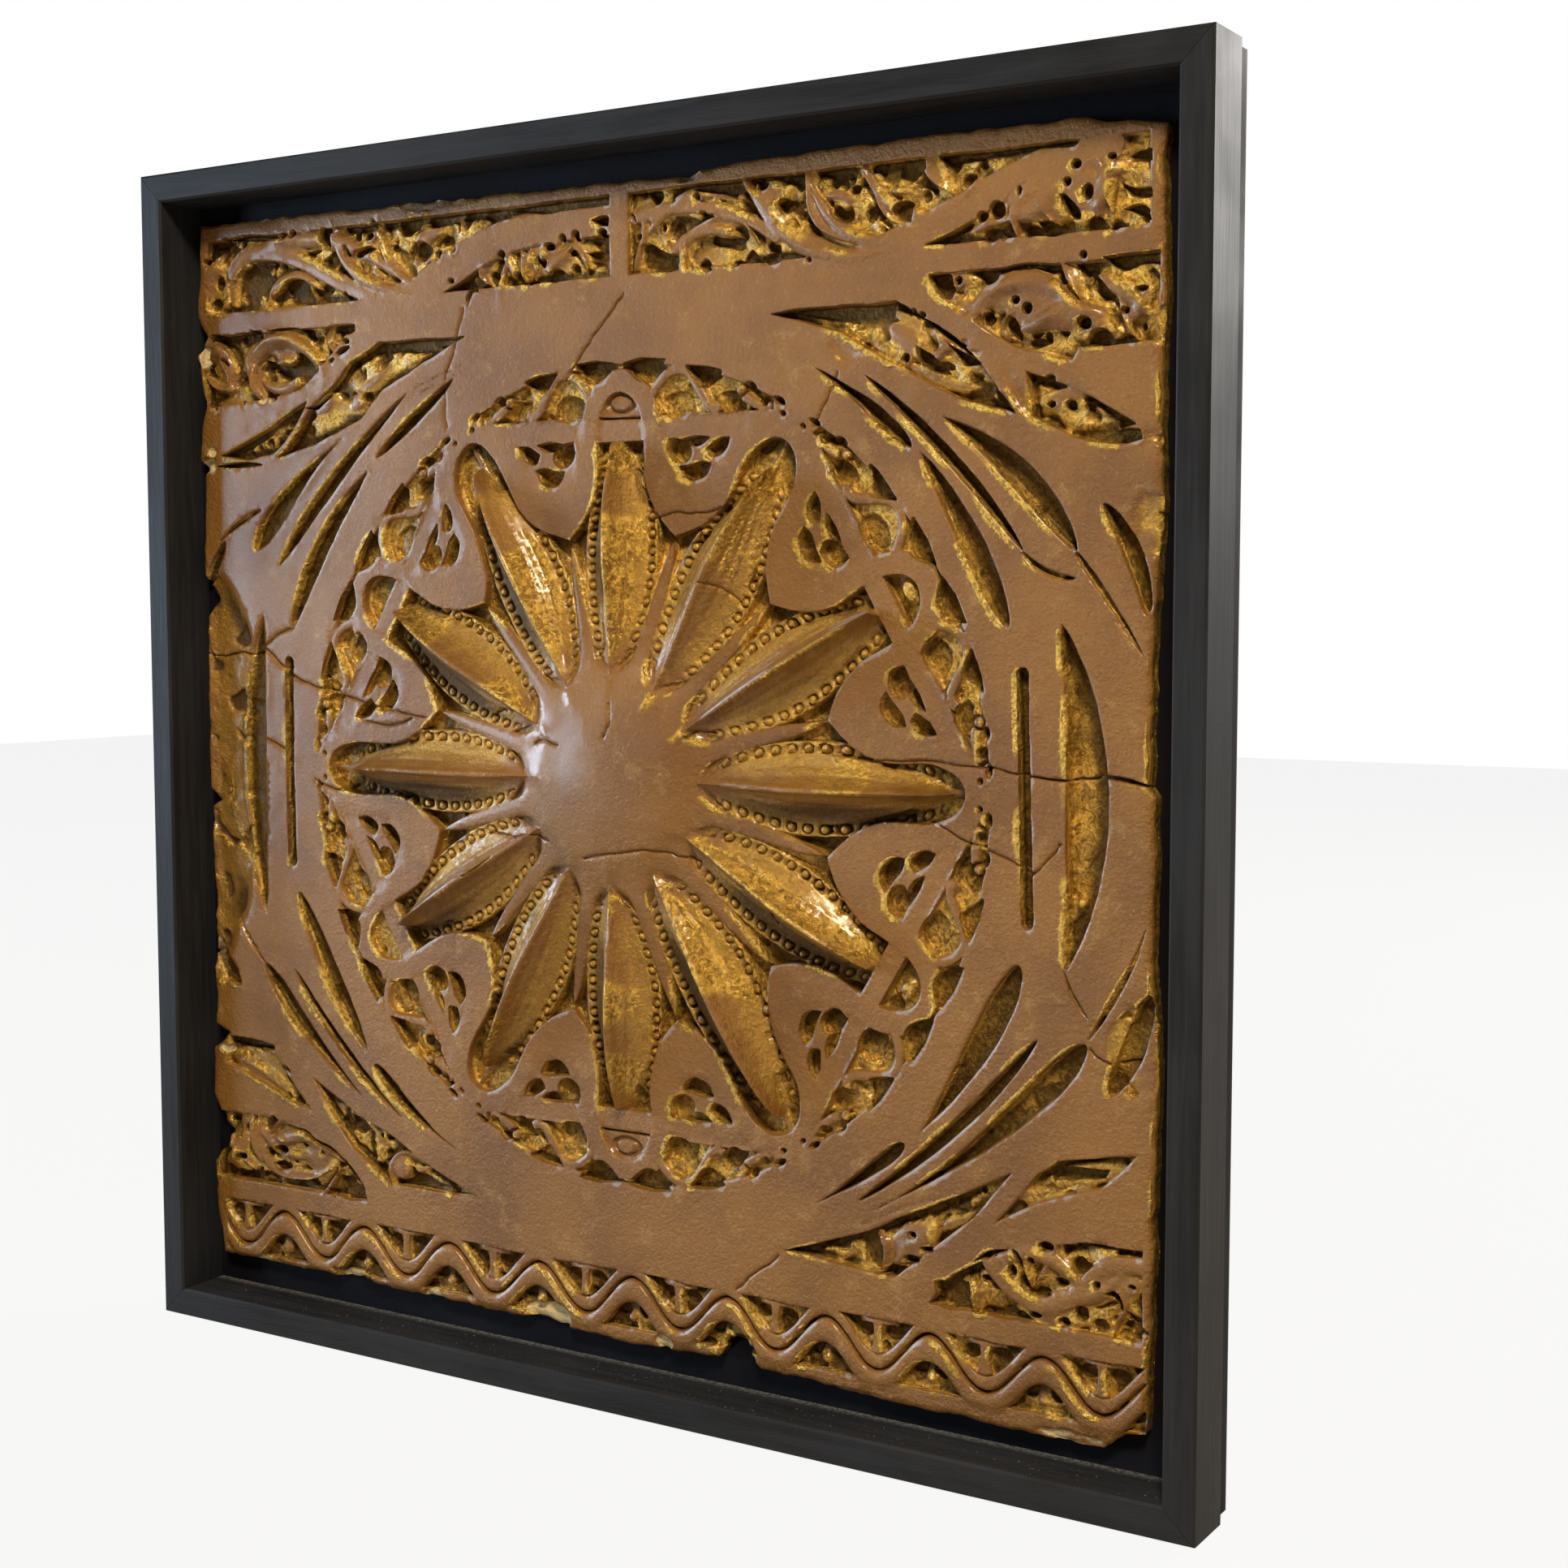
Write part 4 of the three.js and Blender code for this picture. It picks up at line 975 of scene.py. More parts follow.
STRIP_DETAIL = [
    {   # left panel
        "mounds": [(-270, 342, 30, 7, -4, -0.9), (-345, 325, 12, 16, 0, -1.2), (-52, 315, 24, 12, 0, -1.4)],
        "bands": [
            ([(-205, 298), (-170, 303), (-140, 311), (-112, 323), (-85, 331), (-55, 334), (-5, 335)], 10,
             -0.1, 0.8),
            ([(-160, 314), (-120, 332), (-80, 341), (-5, 341)], 4, -0.1, 0.5),
            ([(-328, 328), (-316, 338), (-300, 339), (-280, 336), (-260, 329), (-242, 320), (-222, 311),
              (-200, 303)],
             6.5, 0.1, 1.2),
            ([(-93, 286), (-95, 300), (-92, 310), (-87, 319)], 2.6, 0.6, 1.2),
        ],
        "crests": [
            ([(-316, 332), (-325, 327), (-329, 318), (-328, 306)], 6, 1.6, -0.3, 4),
            ([(-266, 323), (-282, 321), (-291, 313), (-296, 300)], 6, 1.6, -0.4, 3),
            ([(-238, 359), (-231, 341), (-225, 328), (-215, 317), (-200, 309), (-185, 305), (-168, 302)],
             13, 2.4, 0.5, 3.4),
            ([(-197, 349), (-193, 334), (-186, 322), (-176, 313), (-160, 307)], 11, 2.2, 0.2, 3),
            ([(-79, 323), (-77, 312), (-75, 302)], 10, 2, -0.3, 3.5),
            ([(-44, 324), (-35, 319), (-28, 309)], 9, 1.6, -0.4, 3),
            ([(-112, 316), (-110, 308), (-104, 303)], 8, 1.6, -0.2, 3),
        ],
        "pits": [
            [(-322, 312), (-322, 322), (-318, 329), (-308, 330), (-296, 327), (-291, 322), (-296, 316),
             (-304, 310), (-308, 303), (-318, 303)],
            [(-281, 314), (-277, 319), (-268, 320), (-260, 318), (-256, 312), (-254, 305), (-262, 303),
             (-275, 304)],
            [(-246, 351), (-238, 350), (-235, 340), (-239, 335), (-247, 344)],
            [(-181, 350), (-160, 350), (-159, 345), (-166, 342), (-171, 339), (-178, 340)],
            [(-156, 350), (-128, 350), (-128, 338), (-131, 338), (-133, 344), (-146, 342), (-153, 343)],
            [(-168, 330), (-163, 335), (-156, 334), (-152, 328), (-158, 322), (-166, 325)],
            [(-105, 350), (-60, 350.5), (-10, 350), (-10, 344), (-40, 343.5), (-60, 343), (-75, 345),
             (-90, 347.5)],
            [(-24, 336), (-17, 338), (-11, 337), (-11, 331), (-18, 332)],
            [(-32, 318), (-22, 318.5), (-12, 317), (-11, 307), (-18, 310), (-27, 313)],
            [(-123, 296), (-118, 303), (-112, 303), (-112, 299), (-117, 299), (-121, 290)],
        ],
        "ovals": [
            (-333, 350, 4, 2.5, 0), (-317, 346, 3, 4, 0), (-346, 340, 3, 4.5, 0), (-352, 337, 2.4, 2.4, 0),
            (-345, 308, 5, 4, 0), (-209, 332, 9, 3.5, 10), (-204, 342, 5, 3, 0), (-200, 349, 5, 1.6, 0),
            (-104, 342, 2, 1.6, 0), (-135, 308, 3, 2, 0), (-94, 321, 3.5, 3.4, 0), (-82, 306, 3, 4, 0),
            (-72, 302, 4, 2, 0), (-57, 323, 5, 3, 0), (-52, 305, 6, 4.5, 0), (-16, 328, 4, 3, 0),
            (-341, 322, 4, 5, 0), (-225, 306, 2, 2, 0), (-66, 316, 3, 4, 0), (-40, 318, 3.4, 2.6, 0),
            (-102, 308, 3, 4, 0), (-146, 325, 3, 4, 0), (-184, 333, 3.4, 3, 0), (-215, 343, 3, 4, 0),
            (-223, 334, 2.4, 4, 10),
        ],
        "holes": [
            (-331, 334, 2.6), (-331, 306, 3), (-279, 348, 2.6), (-270, 349, 2.6), (-141, 334, 3.8),
            (-133, 328, 2.3), (-62, 313, 2.6), (-46, 327, 2.6), (-36, 328, 3.2), (-38, 308, 3),
        ],
        "slots": [([(-336, 350), (-310, 350), (-281, 347)], 2.4)],
        "ridges": [
            ([(-163, 335), (-160, 342), (-155, 351)], 2.2, 3),
            ([(-77, 305), (-74, 314), (-70, 324)], 3.4, 2.6),
            ([(-317, 322), (-308, 319), (-300, 322)], 2.6, 3),
            ([(-272, 309), (-266, 313), (-260, 309)], 2.4, 3),
            ([(-112, 306), (-108, 314), (-100, 318)], 3, 2), ([(-60, 306), (-50, 315), (-38, 322)], 3, 2),
            ([(-306, 345), (-292, 347), (-270, 343)], 2.2, 1.6),
            ([(-356, 324), (-348, 330), (-340, 333)], 3, 2.4),
        ],
    },
    {   # right panel
        "mounds": [(286, 323, 42, 18, 8, -0.3), (60, 308, 24, 10, 0, -1.6), (20, 338, 18, 10, 0, -1.0),
                   (104, 341, 12, 9, 0, -1.4)],
        "bands": [
            ([(168, 298), (200, 309), (230, 320), (255, 331), (282, 340), (316, 345)], 10, -0.1, 0.8),
            ([(8, 334), (25, 337), (45, 337), (70, 334), (90, 326), (108, 315)], 4.6, -0.2, 1.2),
            ([(43, 312), (42, 304), (45, 292)], 3.4, 0.2, 1.0),
        ],
        "crests": [
            ([(83, 358), (88, 345), (96, 337), (106, 327.5), (120, 316), (137, 308), (153, 302), (182, 298)],
             10, 2.4, 0.4, 3),
            ([(128.5, 358), (129.5, 341), (131, 329), (137, 319), (148, 312), (163, 306)], 10, 2.4, 0.3, 3),
            ([(162, 355), (168.5, 343), (175, 333), (178, 326), (184, 318.5), (196, 312)], 8, 2.2, 0.3, 3),
            ([(205, 357), (206, 345), (210, 338), (220, 330)], 11, 2.4, 0.3, 2),
            ([(95, 313), (86, 325), (70, 329.5), (55, 325.5), (45, 316), (43, 306)], 10, 1.6, -0.2, 3.2),
            ([(14, 322), (10, 313), (7, 302)], 7, 1.6, -0.3, 3),
            ([(309, 338), (314, 330), (316, 318), (319, 307)], 8, 2.4, 0.2, 3),
            ([(273, 323), (279, 314), (285, 305)], 7, 1.8, 0.1, 3),
            ([(263, 319), (260, 311), (263, 301)], 6, 1.8, 0, 2.5),
        ],
        "pits": [
            [(12, 349), (24, 350), (28, 346), (26, 341), (21, 341), (17, 347)],
            [(48, 350), (65, 350.5), (82, 350), (83, 343), (81, 339), (75, 341), (62, 344), (52, 346)],
            [(4, 338), (9, 335), (11, 328), (8, 332)],
            [(12, 315), (14, 319), (20, 318), (30, 312), (38, 311), (41, 307), (37, 301), (28, 301),
             (20, 303), (13, 305)],
            [(61, 316), (64, 320), (70, 318), (78, 317), (84, 316), (85, 311), (80, 310), (73, 312),
             (66, 313)],
            [(52, 303), (56, 307), (61, 305), (65, 299), (60, 298), (56, 301)],
            [(116, 344), (120, 349), (127, 348), (127, 342), (123, 338)],
            [(108, 334), (113, 337), (120, 334), (121, 330), (114, 327), (110, 329)],
            [(145, 350), (160, 349), (161, 344), (152, 342), (148, 338), (143, 341)],
            [(145, 328), (149, 330), (153, 327), (158, 329), (159, 322), (155, 318), (149, 320), (145, 324)],
            [(187, 341), (190, 349), (206, 350), (207, 343), (201, 341), (196, 338)],
            [(185, 322), (189, 328), (196, 327), (199, 321), (197, 315), (190, 317)],
            [(228, 350), (264, 350.5), (300, 350), (296, 346), (270, 346.5), (240, 347)],
            [(274, 309), (280, 309), (288, 305), (296, 302), (285, 300), (278, 302)],
            [(287, 322), (291, 322), (299, 313), (299, 308), (294, 309), (290, 315)],
            [(325, 338), (331, 341), (341, 341), (341, 334), (333, 335)],
            [(322, 325), (330, 322), (340, 321), (341, 316), (333, 316), (326, 319)],
            [(323, 311), (330, 313), (337, 311), (341, 304), (336, 303), (331, 308)],
        ],
        "ovals": [
            (36, 342, 2.5, 2, 0), (10, 323, 4, 3, 0), (28, 327, 1.8, 4, 0), (80, 302, 4, 2.5, 0),
            (57, 333, 3, 1.6, 0), (105, 301, 7, 2, 0), (160, 337, 4, 3, 0), (170, 322, 3.5, 5, 0),
            (250, 317, 5, 5.4, 0), (264, 326, 2, 4, 0), (247, 304, 6, 4.5, 0), (270, 304, 5, 3.5, 0),
            (304, 322, 3.5, 5, 0), (308, 305, 5, 4, 0), (320, 303, 4, 3, 0), (297, 337, 3.5, 3, 0),
            (318, 339, 3, 2, 0), (98, 345, 4, 3, 0), (104, 310, 3, 3, 0),
        ],
        "holes": [
            (54, 343, 2.3), (38, 325, 4.2), (108, 308, 3), (131, 300, 1.5), (124, 326, 2.6), (173, 347, 2.6),
            (205, 329, 3.4), (232, 335, 3.8), (241, 343, 2.6), (219, 303, 2.3), (241, 314, 3), (255, 302, 2),
            (292, 328, 2.3),
        ],
        "slots": [],
        "ridges": [
            ([(20, 333), (30, 322), (34, 314)], 3, 2.2), ([(96, 340), (104, 334), (110, 322)], 3, 2.4),
            ([(140, 334), (150, 335), (160, 330)], 3, 2.4), ([(184, 334), (192, 333), (202, 334)], 2.6, 2.2),
            ([(262, 312), (276, 316), (284, 325)], 3.4, 2.2),
            ([(305, 312), (314, 318), (316, 330)], 3.4, 2.2),
            ([(234, 306), (244, 310), (258, 311)], 2.4, 1.8), ([(312, 330), (322, 332), (336, 328)], 2.6, 2),
            ([(225, 325), (232, 328), (240, 336)], 2.2, 1.4),
        ],
    },
]
# The wave border: the x of its crests, their usual distance, and the z of its middle, top and base
WAVE_CRESTS = (-368, -294.5, -221, -147, -72.5, 1.7, 71.7, 141.5, 211.7, 283.3, 354)
WAVE_PITCH = 72
WAVE_MIDDLE = -330
WAVE_SWING = 13.2
WAVE_TOP = -312
WAVE_BASE = -349
WAVE_ENDS = (-350, 345)
CORD_RADIUS = 7.4
TAB_GOLD = 0.35


def strip_work():
    """The two panels of the top strip, and the wave border at the bottom."""
    for panel, detail in zip(STRIP_PANELS, STRIP_DETAIL):
        left, right = panel["from"], panel["to"]
        outline = [(left, STRIP_LOW), (right, STRIP_LOW), (right, STRIP_HIGH), (left, STRIP_HIGH)]
        plant_field(outline, 2.8)
        for row in panel["leaves"]:
            lay_leaf(row)
        carve(detail)
    wave_strip()


def wave_strip():
    """A cord that runs in waves under a second band, past pierced openings with a tab or a knob in each."""
    part, x, z = window([(WAVE_ENDS[0] - 2, WAVE_BASE - 3), (WAVE_ENDS[1] + 1, WAVE_TOP + 3)], 0)
    x = x + 1.2 * drift_x[part]
    z = z + 1.2 * drift_z[part]
    phase = np.interp(x, WAVE_CRESTS, np.arange(len(WAVE_CRESTS))).astype(np.float32)
    turn = 2 * np.pi * phase
    above = z - WAVE_MIDDLE - WAVE_SWING * np.cos(turn)
    lean = np.sqrt(1 + (1.15 * np.sin(turn)) ** 2)
    rough, wander = lumps[part], edge_wander[part]
    level = height[part] + np.zeros_like(above)
    gold = gilding[part] + np.zeros_like(above)
    ends = ease((x - WAVE_ENDS[0]) / 2) * ease((WAVE_ENDS[1] - x) / 2)

    cord = -0.9 + 2.4 * np.sqrt(np.clip(1 - ((above + 7) / CORD_RADIUS) ** 2, 0, 1))
    band = -0.1 - 0.03 * (above - 6) ** 2
    both = np.where(above > 0, band, cord) - 2.2 * bump(above - 0.6, lean)
    near = ease((11.6 - above) / 2) * ease((above + 14.6) / 1.4) * ends * ease((z - WAVE_BASE + 4) / 5)
    near = near * ease((WAVE_TOP + 0.7 - z) / 1.5)
    level = blend(level, both + 0.25 * rough, near)
    gold = blend(gold, 0.1 + 0.75 * bump((above - 1.2) / lean, 1.3), near)
    for upper in (False, True):
        centre = np.round(phase - 0.5 * upper) + 0.5 * upper
        beside = np.abs(phase - centre) * WAVE_PITCH
        if upper:
            edge = np.minimum((above - 9.6) / lean, WAVE_TOP - z)
            arms = np.minimum(13.5 - beside, z - WAVE_TOP + 4.5)
            inner = np.maximum(arms, 3.6 + 0.02 * (z + 322) ** 2 - beside)
            deep = np.hypot((beside - 9.5) / 5.5, (z + 320.5) / 3.8)
            tab = -0.8 - 0.01 * beside**2
        else:
            edge = np.minimum((-14 - above) / lean, z - WAVE_BASE)
            knob = np.hypot(beside, (z + 341.5) * 1.05)
            inner = np.maximum(4.3 - knob, np.minimum(3 + 0.1 * (z + 340) - beside, z + 341))
            deep = np.hypot((beside - 8.5) / 4.6, (z + 336) / 5.2)
            tab = -1.2 - 0.07 * np.minimum(knob, 5) ** 2
        edge = edge + 0.7 * wander
        sunk = ease(edge / 1.4) * ends
        floor = -3.6 + 1.6 * rough - 4.4 * ease((1.1 - deep) / 0.3)
        level = blend(level, np.minimum(level, floor), sunk)
        gold = blend(gold, 1, np.clip(sunk * 1.5, 0, 1))
        middle = ease((inner + 0.8 * wander) / 1.4) * sunk
        level = blend(level, np.maximum(level, tab + 0.4 * rough), middle)
        gold = blend(gold, TAB_GOLD, middle)
    height[part] = level
    gilding[part] = gold


# Breaks, cracks and chips
# The broken outline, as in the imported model
OUTLINE = [
    (-358, 362), (-190, 360.5), (-60, 358.5), (42, 356.5), (50, 359.5), (205, 362), (300, 361.5), (349, 353),
    (347, 330), (350, 265), (347, 236), (349, 160), (346, 120), (343, 5), (347, 0), (346, -98), (350, -125),
    (347, -330), (345, -349), (333, -351), (321, -362), (200, -361), (96, -357), (88, -350),
    (84, -342), (73, -342), (67, -356), (0, -358), (-60, -356), (-220, -354), (-355, -354),
    (-361, -310), (-362, -288), (-346, -268), (-361, -240), (-360, -207), (-345, -195), (-358, -190),
    (-358, -36), (-352, -32), (-359, -24), (-359, 96), (-351, 108), (-361, 124), (-358, 195), (-364, 204),
    (-357, 240), (-364, 274), (-353, 286), (-362, 300),
]
# The middle lines of the cracks
CRACKS = [
    [(274, -46), (284, -37), (292, -28)],
    [(-359, 70), (-345, 68), (-330, 71), (-316, 70), (-303, 75), (-290, 84), (-275, 88)],
    [(-303, 75), (-292, 66), (-280, 58), (-262, 50), (-240, 45), (-222, 41), (-200, 36), (-180, 33),
     (-160, 30)],
    [(-303, 12), (-296, 10), (-285, 6)],
    [(0, 290), (-12, 278), (-24, 265), (-33, 255), (-45, 240)],
    [(-125, 290), (-130, 276), (-134, 262), (-140, 250), (-141, 232), (-140, 215)],
    [(150, 235), (143, 221), (133, 205)],
    [(-100, -40), (-82, -43), (-66, -40), (-50, -43)],
    [(-20, -52), (-8, -49), (8, -47), (30, -44), (46, -47), (60, -50)],
    [(-2, 22), (2, 32), (0, 44)], [(52, 24), (60, 28), (72, 27)],
    [(150, 17), (175, 14), (205, 15), (228, 13), (250, 12), (272, 9), (295, 7), (320, 10), (347, 5)],
    [(20, 155), (36, 158), (52, 157), (70, 160)], [(-14, 72), (-10, 80), (-12, 92)],
    [(-98, 34), (-90, 38), (-80, 37)], [(-60, 18), (-50, 20), (-38, 17)],
    [(80, -310), (92, -299), (110, -285)],
    [(215, -20), (236, -30), (256, -36), (275, -45)], [(-200, 352), (-192, 340), (-188, 330)],
    [(-95, -55), (-110, -66), (-122, -70)], [(90, -62), (104, -70), (112, -84)],
    [(-172, 30), (-190, 24), (-212, 27)],
    [(310, -140), (322, -146), (338, -143)], [(-258, -14), (-240, -20), (-226, -17)],
    [(64, 118), (76, 112), (84, 104)],
]
CRACK_HALF = 0.6
CRACK_DEPTH = 1.9
# A chip's middle, half width, half height and depth
CHIPS = [
    ((-357, 272), 6, 9, 2.8), ((-353, 199), 9, 6, 3.2), ((-350, 208), 5, 4, 2), ((-301, 241), 4, 3, 1.4),
    ((231, 246.5), 3, 2.5, 1), ((236.5, 240), 4.5, 3, 1.2), ((188, 234), 8, 2.6, 1),
    ((-348, -206), 7, 4, 2.2),
    ((-66, -350), 21, 10, 3.0), ((26, -352), 8, 6, 2.6),
    ((-232, -351), 14, 6, 2.4), ((-160, -353), 10, 5, 2.2), ((78, -337), 7, 4, 2.4),
    ((-308, -352), 14, 3, 1.4), ((46, 357), 5, 5, 2.5),
    ((-150, 357), 26, 3.5, 1.3), ((-290, 359), 14, 3, 1), ((160, -359), 20, 3, 1.4),
    ((300, -358), 22, 4, 1.6),
    ((-100, 306), 4, 3, 1), ((-356, -140), 4, 12, 1.6),
]
# A scrape's line, half width and lift
SCRAPES = [
    ([(-172, 240), (-143, 250), (-115, 258)], 0.5, -0.9),
    ([(-170, 236), (-142, 246), (-116, 254)], 0.45, -0.7),
    ([(-120, 312), (-90, 306), (-60, 300)], 0.7, -0.7), ([(160, -262), (190, -246), (230, -230)], 0.6, -0.7),
]
# Broken patches: an outline and a depth
DAMAGE = [
    ([(142, 257), (170, 245), (155, 233)], 2),
    ([(-358, -138), (-342, -141), (-333, -150), (-344, -160), (-358, -158)], 4),
    ([(319, -126), (334, -112), (351, -116), (351, -160), (334, -165), (323, -150)], 3),
    ([(326, 148), (337, 165), (351, 161), (351, 127), (336, 125)], 2.4),
    ([(170, 252), (183, 250), (183, 266), (171, 268)], 4),
    ([(242, 248), (252, 240), (262, 228), (272, 220), (282, 210), (278, 204), (270, 203), (262, 212),
      (255, 225), (248, 238)], 1.7),
    ([(341, 241), (352, 239), (352, 261), (342, 259)], 3.4),
    ([(336, 197), (336, 185), (349, 186), (349, 198)], 2.2),
    ([(-90, -344), (-84, -356), (-74, -360), (-50, -360), (-46, -350), (-56, -343), (-72, -340)], 4.2),
    ([(-252, -346), (-246, -358), (-216, -358), (-214, -349), (-230, -344)], 3.4),
    ([(40, 352), (44, 360), (56, 360), (52, 352)], 3),
    ([(60, -346), (66, -338), (74, -336), (90, -338), (96, -348), (88, -360), (66, -360)], 3.6),
    ([(-360, 196), (-346, 193), (-343, 200), (-350, 206), (-360, 206)], 2.6),
]


def broken_edge():
    """The distance inside the casting's broken outline, over the whole grid."""
    step = 4
    ring = np.array(OUTLINE, float)
    coarse = depth_inside(ring, xs[None, ::step], zs[::step, None])
    fine = np.kron(coarse, np.ones((step, step), np.float32))[: CELLS + 1, : CELLS + 1]
    near = np.abs(fine) < 6
    edge = fine.astype(np.float32)
    rows, cols = np.nonzero(near)
    edge[near] = depth_inside(ring, xs[cols], zs[rows])
    chipped = 0.9 * noise(9) + 0.5 * noise(3.6)
    return edge - 0.7 + np.clip(chipped, -1.6, 0.7) * (np.abs(edge) < 12)


def deepen(field):
    """Ground below the flats lies deeper, most of all where it was shallow."""
    below = np.clip(-field - 1, 0, None)
    return np.where(field < -1, -1 - 2.2 * below / (1 + 0.16 * below), field)


# Bands along the floors of the lenses, and lines that are cut in and below them
LENS_BANDS = [
    ([(292, -86), (289, 0), (290, 84)], 3.6, -2.4),
    ([(-317, -84), (-325, -30), (-325, 30), (-317, 76)], 3.6, -2.6),
]
LENS_CUTS = [
    ([(298, 84), (297, 40), (297, 0), (297, -40), (300, -88)], 2.6, 8.2, 1.2),
    ([(294, -96), (300, -111), (311, -125)], 1.5, 2.8, 1.1),
    ([(344, -66), (334, -92), (319, -116)], 1.4, 2.4, 1.1),
]
# A small stud in the right lens
STUD = (303, -60)
STUD_RADIUS = 3
# The wide crack on the right, and a worn groove on the left
WIDE_CRACK = [(222, 14), (250, 12), (272, 9), (295, 7), (320, 10), (347, 5)]
LEFT_GROOVE = [(-349, 10), (-344, -20), (-330, -58), (-306, -108)]


def lens_work():
    """The bands, the cut lines, the wavy floor and the stud of the two lenses."""
    for row in LENS_BANDS:
        lay_band(*row, 0.4, 0.5, 0.7, 1.2)
    for row in LENS_CUTS:
        sink_line(*row)
    part, x, z = window([(292, -94), (322, 94)], 0)
    height[part] += 0.55 * np.sin(z / 6.5 + 1.5 * np.sin(z / 23)) * ease((-4.5 - height[part]) / 2)
    part, x, z = window([STUD], STUD_RADIUS + 1)
    away = np.hypot(x - STUD[0], z - STUD[1])
    dome = np.sqrt(np.clip(STUD_RADIUS**2 - away**2, 0, STUD_RADIUS**2))
    height[part] = np.maximum(height[part], np.where(away < STUD_RADIUS, -5.5 + dome, -99))


def wear():
    """Everything that time did to the casting, and the unevenness of its surface."""
    height[:] = deepen(height)
    for ring, depth in DAMAGE:
        part, x, z = window(ring, 4)
        edge = depth_inside(np.array(ring, float), x, z) + 3.2 * edge_wander[part]
        sink_to(part, ease(edge / 3.5), -depth * 0.7 + 1.1 * lumps[part], 0.7)
    for line, half, lift in SCRAPES:
        raise_line(line, half, lift, 0.7)
    lens_work()
    sink_line(WIDE_CRACK, 1.5, 4.5, 1.1, 0.5, 0.8)
    sink_line(LEFT_GROOVE, 1.9, 2.6, 1.2)
    for line in CRACKS:
        crack = smooth_curve(line, steps=4)
        crack = crack + RNG.normal(0, 0.35, crack.shape)
        part, x, z = window(crack, 3)
        away, _ = distance_along(crack, x, z)
        away = np.abs(away + 0.4 * edge_wander[part])
        height[part] -= CRACK_DEPTH * bump(away, CRACK_HALF) + 0.12 * bump(away, 3)
    for (x0, z0), half_x, half_z, depth in CHIPS:
        part, x, z = window([(x0, z0)], max(half_x, half_z) + 4)
        edge = 1 - np.hypot((x - x0) / half_x, (z - z0) / half_z) + 0.35 * edge_wander[part]
        cut = ease(edge / 0.3)
        height[part] -= cut * (depth + 0.7 * lumps[part])
        plaster = min(max(depth / 2.6, 0.4), 0.9) + 0.25 * lumps[part]
        bare[part] = blend(bare[part], plaster, np.clip(cut * 1.5, 0, 1))
    rounding = np.clip(3.4 - rim_depth, 0, 4)
    height[:] -= 0.16 * rounding**2 + 0.6 * ease((2.2 - rim_depth) / 2) * np.clip(patches, 0, 1)
    hammered = 0.24 * noise(3.4) + 0.12 * noise(1.9)
    hammered = hammered * (0.16 + 0.84 * np.clip(gilding, 0, 1))
    height[:] += 0.16 * noise(70) + 0.07 * noise(16) + 0.04 * noise(5) + hammered
    pocks = ease((noise(6.5) - 0.42) / 0.22) * ease((gilding - 0.3) / 0.2) * ease((-1.2 - height) / 1.2)
    height[:] -= 2.4 * pocks * ease((height + 9) / 3)
    np.maximum(height, FLOOR + 1.2, out=height)


rim_depth = broken_edge()

rosette()
corner_work()
for area in DETAIL:
    carve(area)
strip_work()
wear()


# Triangles from the height field
MM = 0.001
TRIANGLE_BUDGET = 860_000
SECTORS = 5
# Values that are stored at the points for the material
LAYERS = ("gild", "bare", "hollow_shade", "left_edge_highlight")
SKIRT_STEPS = (0.35, 0.7, 1.0)
# The map of one sector: the share of it that the front takes, the strip of the walls, and the small rear
MAP_FRONT = 0.9
MAP_LIFT = 0.095
MAP_STRIP = 0.08
MAP_STRIP_STEP = 0.024
MAP_REAR = 0.09


def midpoint_errors():
    """For each grid point, the step in height that a triangle without that point would leave."""
    error = np.zeros_like(height)
    inside = rim_depth > -1.5
    rows, cols = np.indices(height.shape, sparse=True)
    outline_point = (np.abs(rim_depth) < 1.0) & (rows % 2 == 0) & (cols % 2 == 0)

    def note(at, value):
        error[at] = np.maximum(error[at], np.where(inside[at], value, 0))
        error[at] = np.where(outline_point[at], 9, error[at])

    step = 2
    while step <= CELLS:
        half = step // 2
        quarter = half // 2
        for down, along in ((True, False), (False, True)):
            # Middles of the sides of the squares of this size
            r = np.s_[half::step] if down else np.s_[::step]
            c = np.s_[half::step] if along else np.s_[::step]
            if down:
                ends = height[:-step:step, ::step], height[step::step, ::step]
            else:
                ends = height[::step, :-step:step], height[::step, step::step]
            note((r, c), np.abs(height[r, c] - (ends[0] + ends[1]) / 2))
            if quarter:
                centres = error[quarter::half, quarter::half]
                spread = np.zeros_like(error[r, c])
                padded = np.pad(centres, 1)
                for i in (0, 1):
                    for j in (0, 1):
                        rr = np.arange(half if down else 0, CELLS + 1, step) // half + i
                        cc = np.arange(half if along else 0, CELLS + 1, step) // half + j
                        spread = np.maximum(spread, padded[np.ix_(rr, cc)])
                error[r, c] = np.maximum(error[r, c], spread)
        # Middles of the squares: the diagonal that is cut runs through the middle of the next larger square
        a = (height[:-step:step, :-step:step] + height[step::step, step::step]) / 2
        b = (height[:-step:step, step::step] + height[step::step, :-step:step]) / 2
        count = CELLS // step
        parity = np.add.outer(np.arange(count), np.arange(count)) % 2
        middle = (np.s_[half::step], np.s_[half::step])
        note(middle, np.abs(height[middle] - np.where(parity == 0, a, b)))
        for sides in ((np.s_[half::step], np.s_[:-step:step]), (np.s_[half::step], np.s_[step::step]),
                      (np.s_[:-step:step], np.s_[half::step]), (np.s_[step::step], np.s_[half::step])):
            error[middle] = np.maximum(error[middle], error[sides])
        step *= 2
    return error


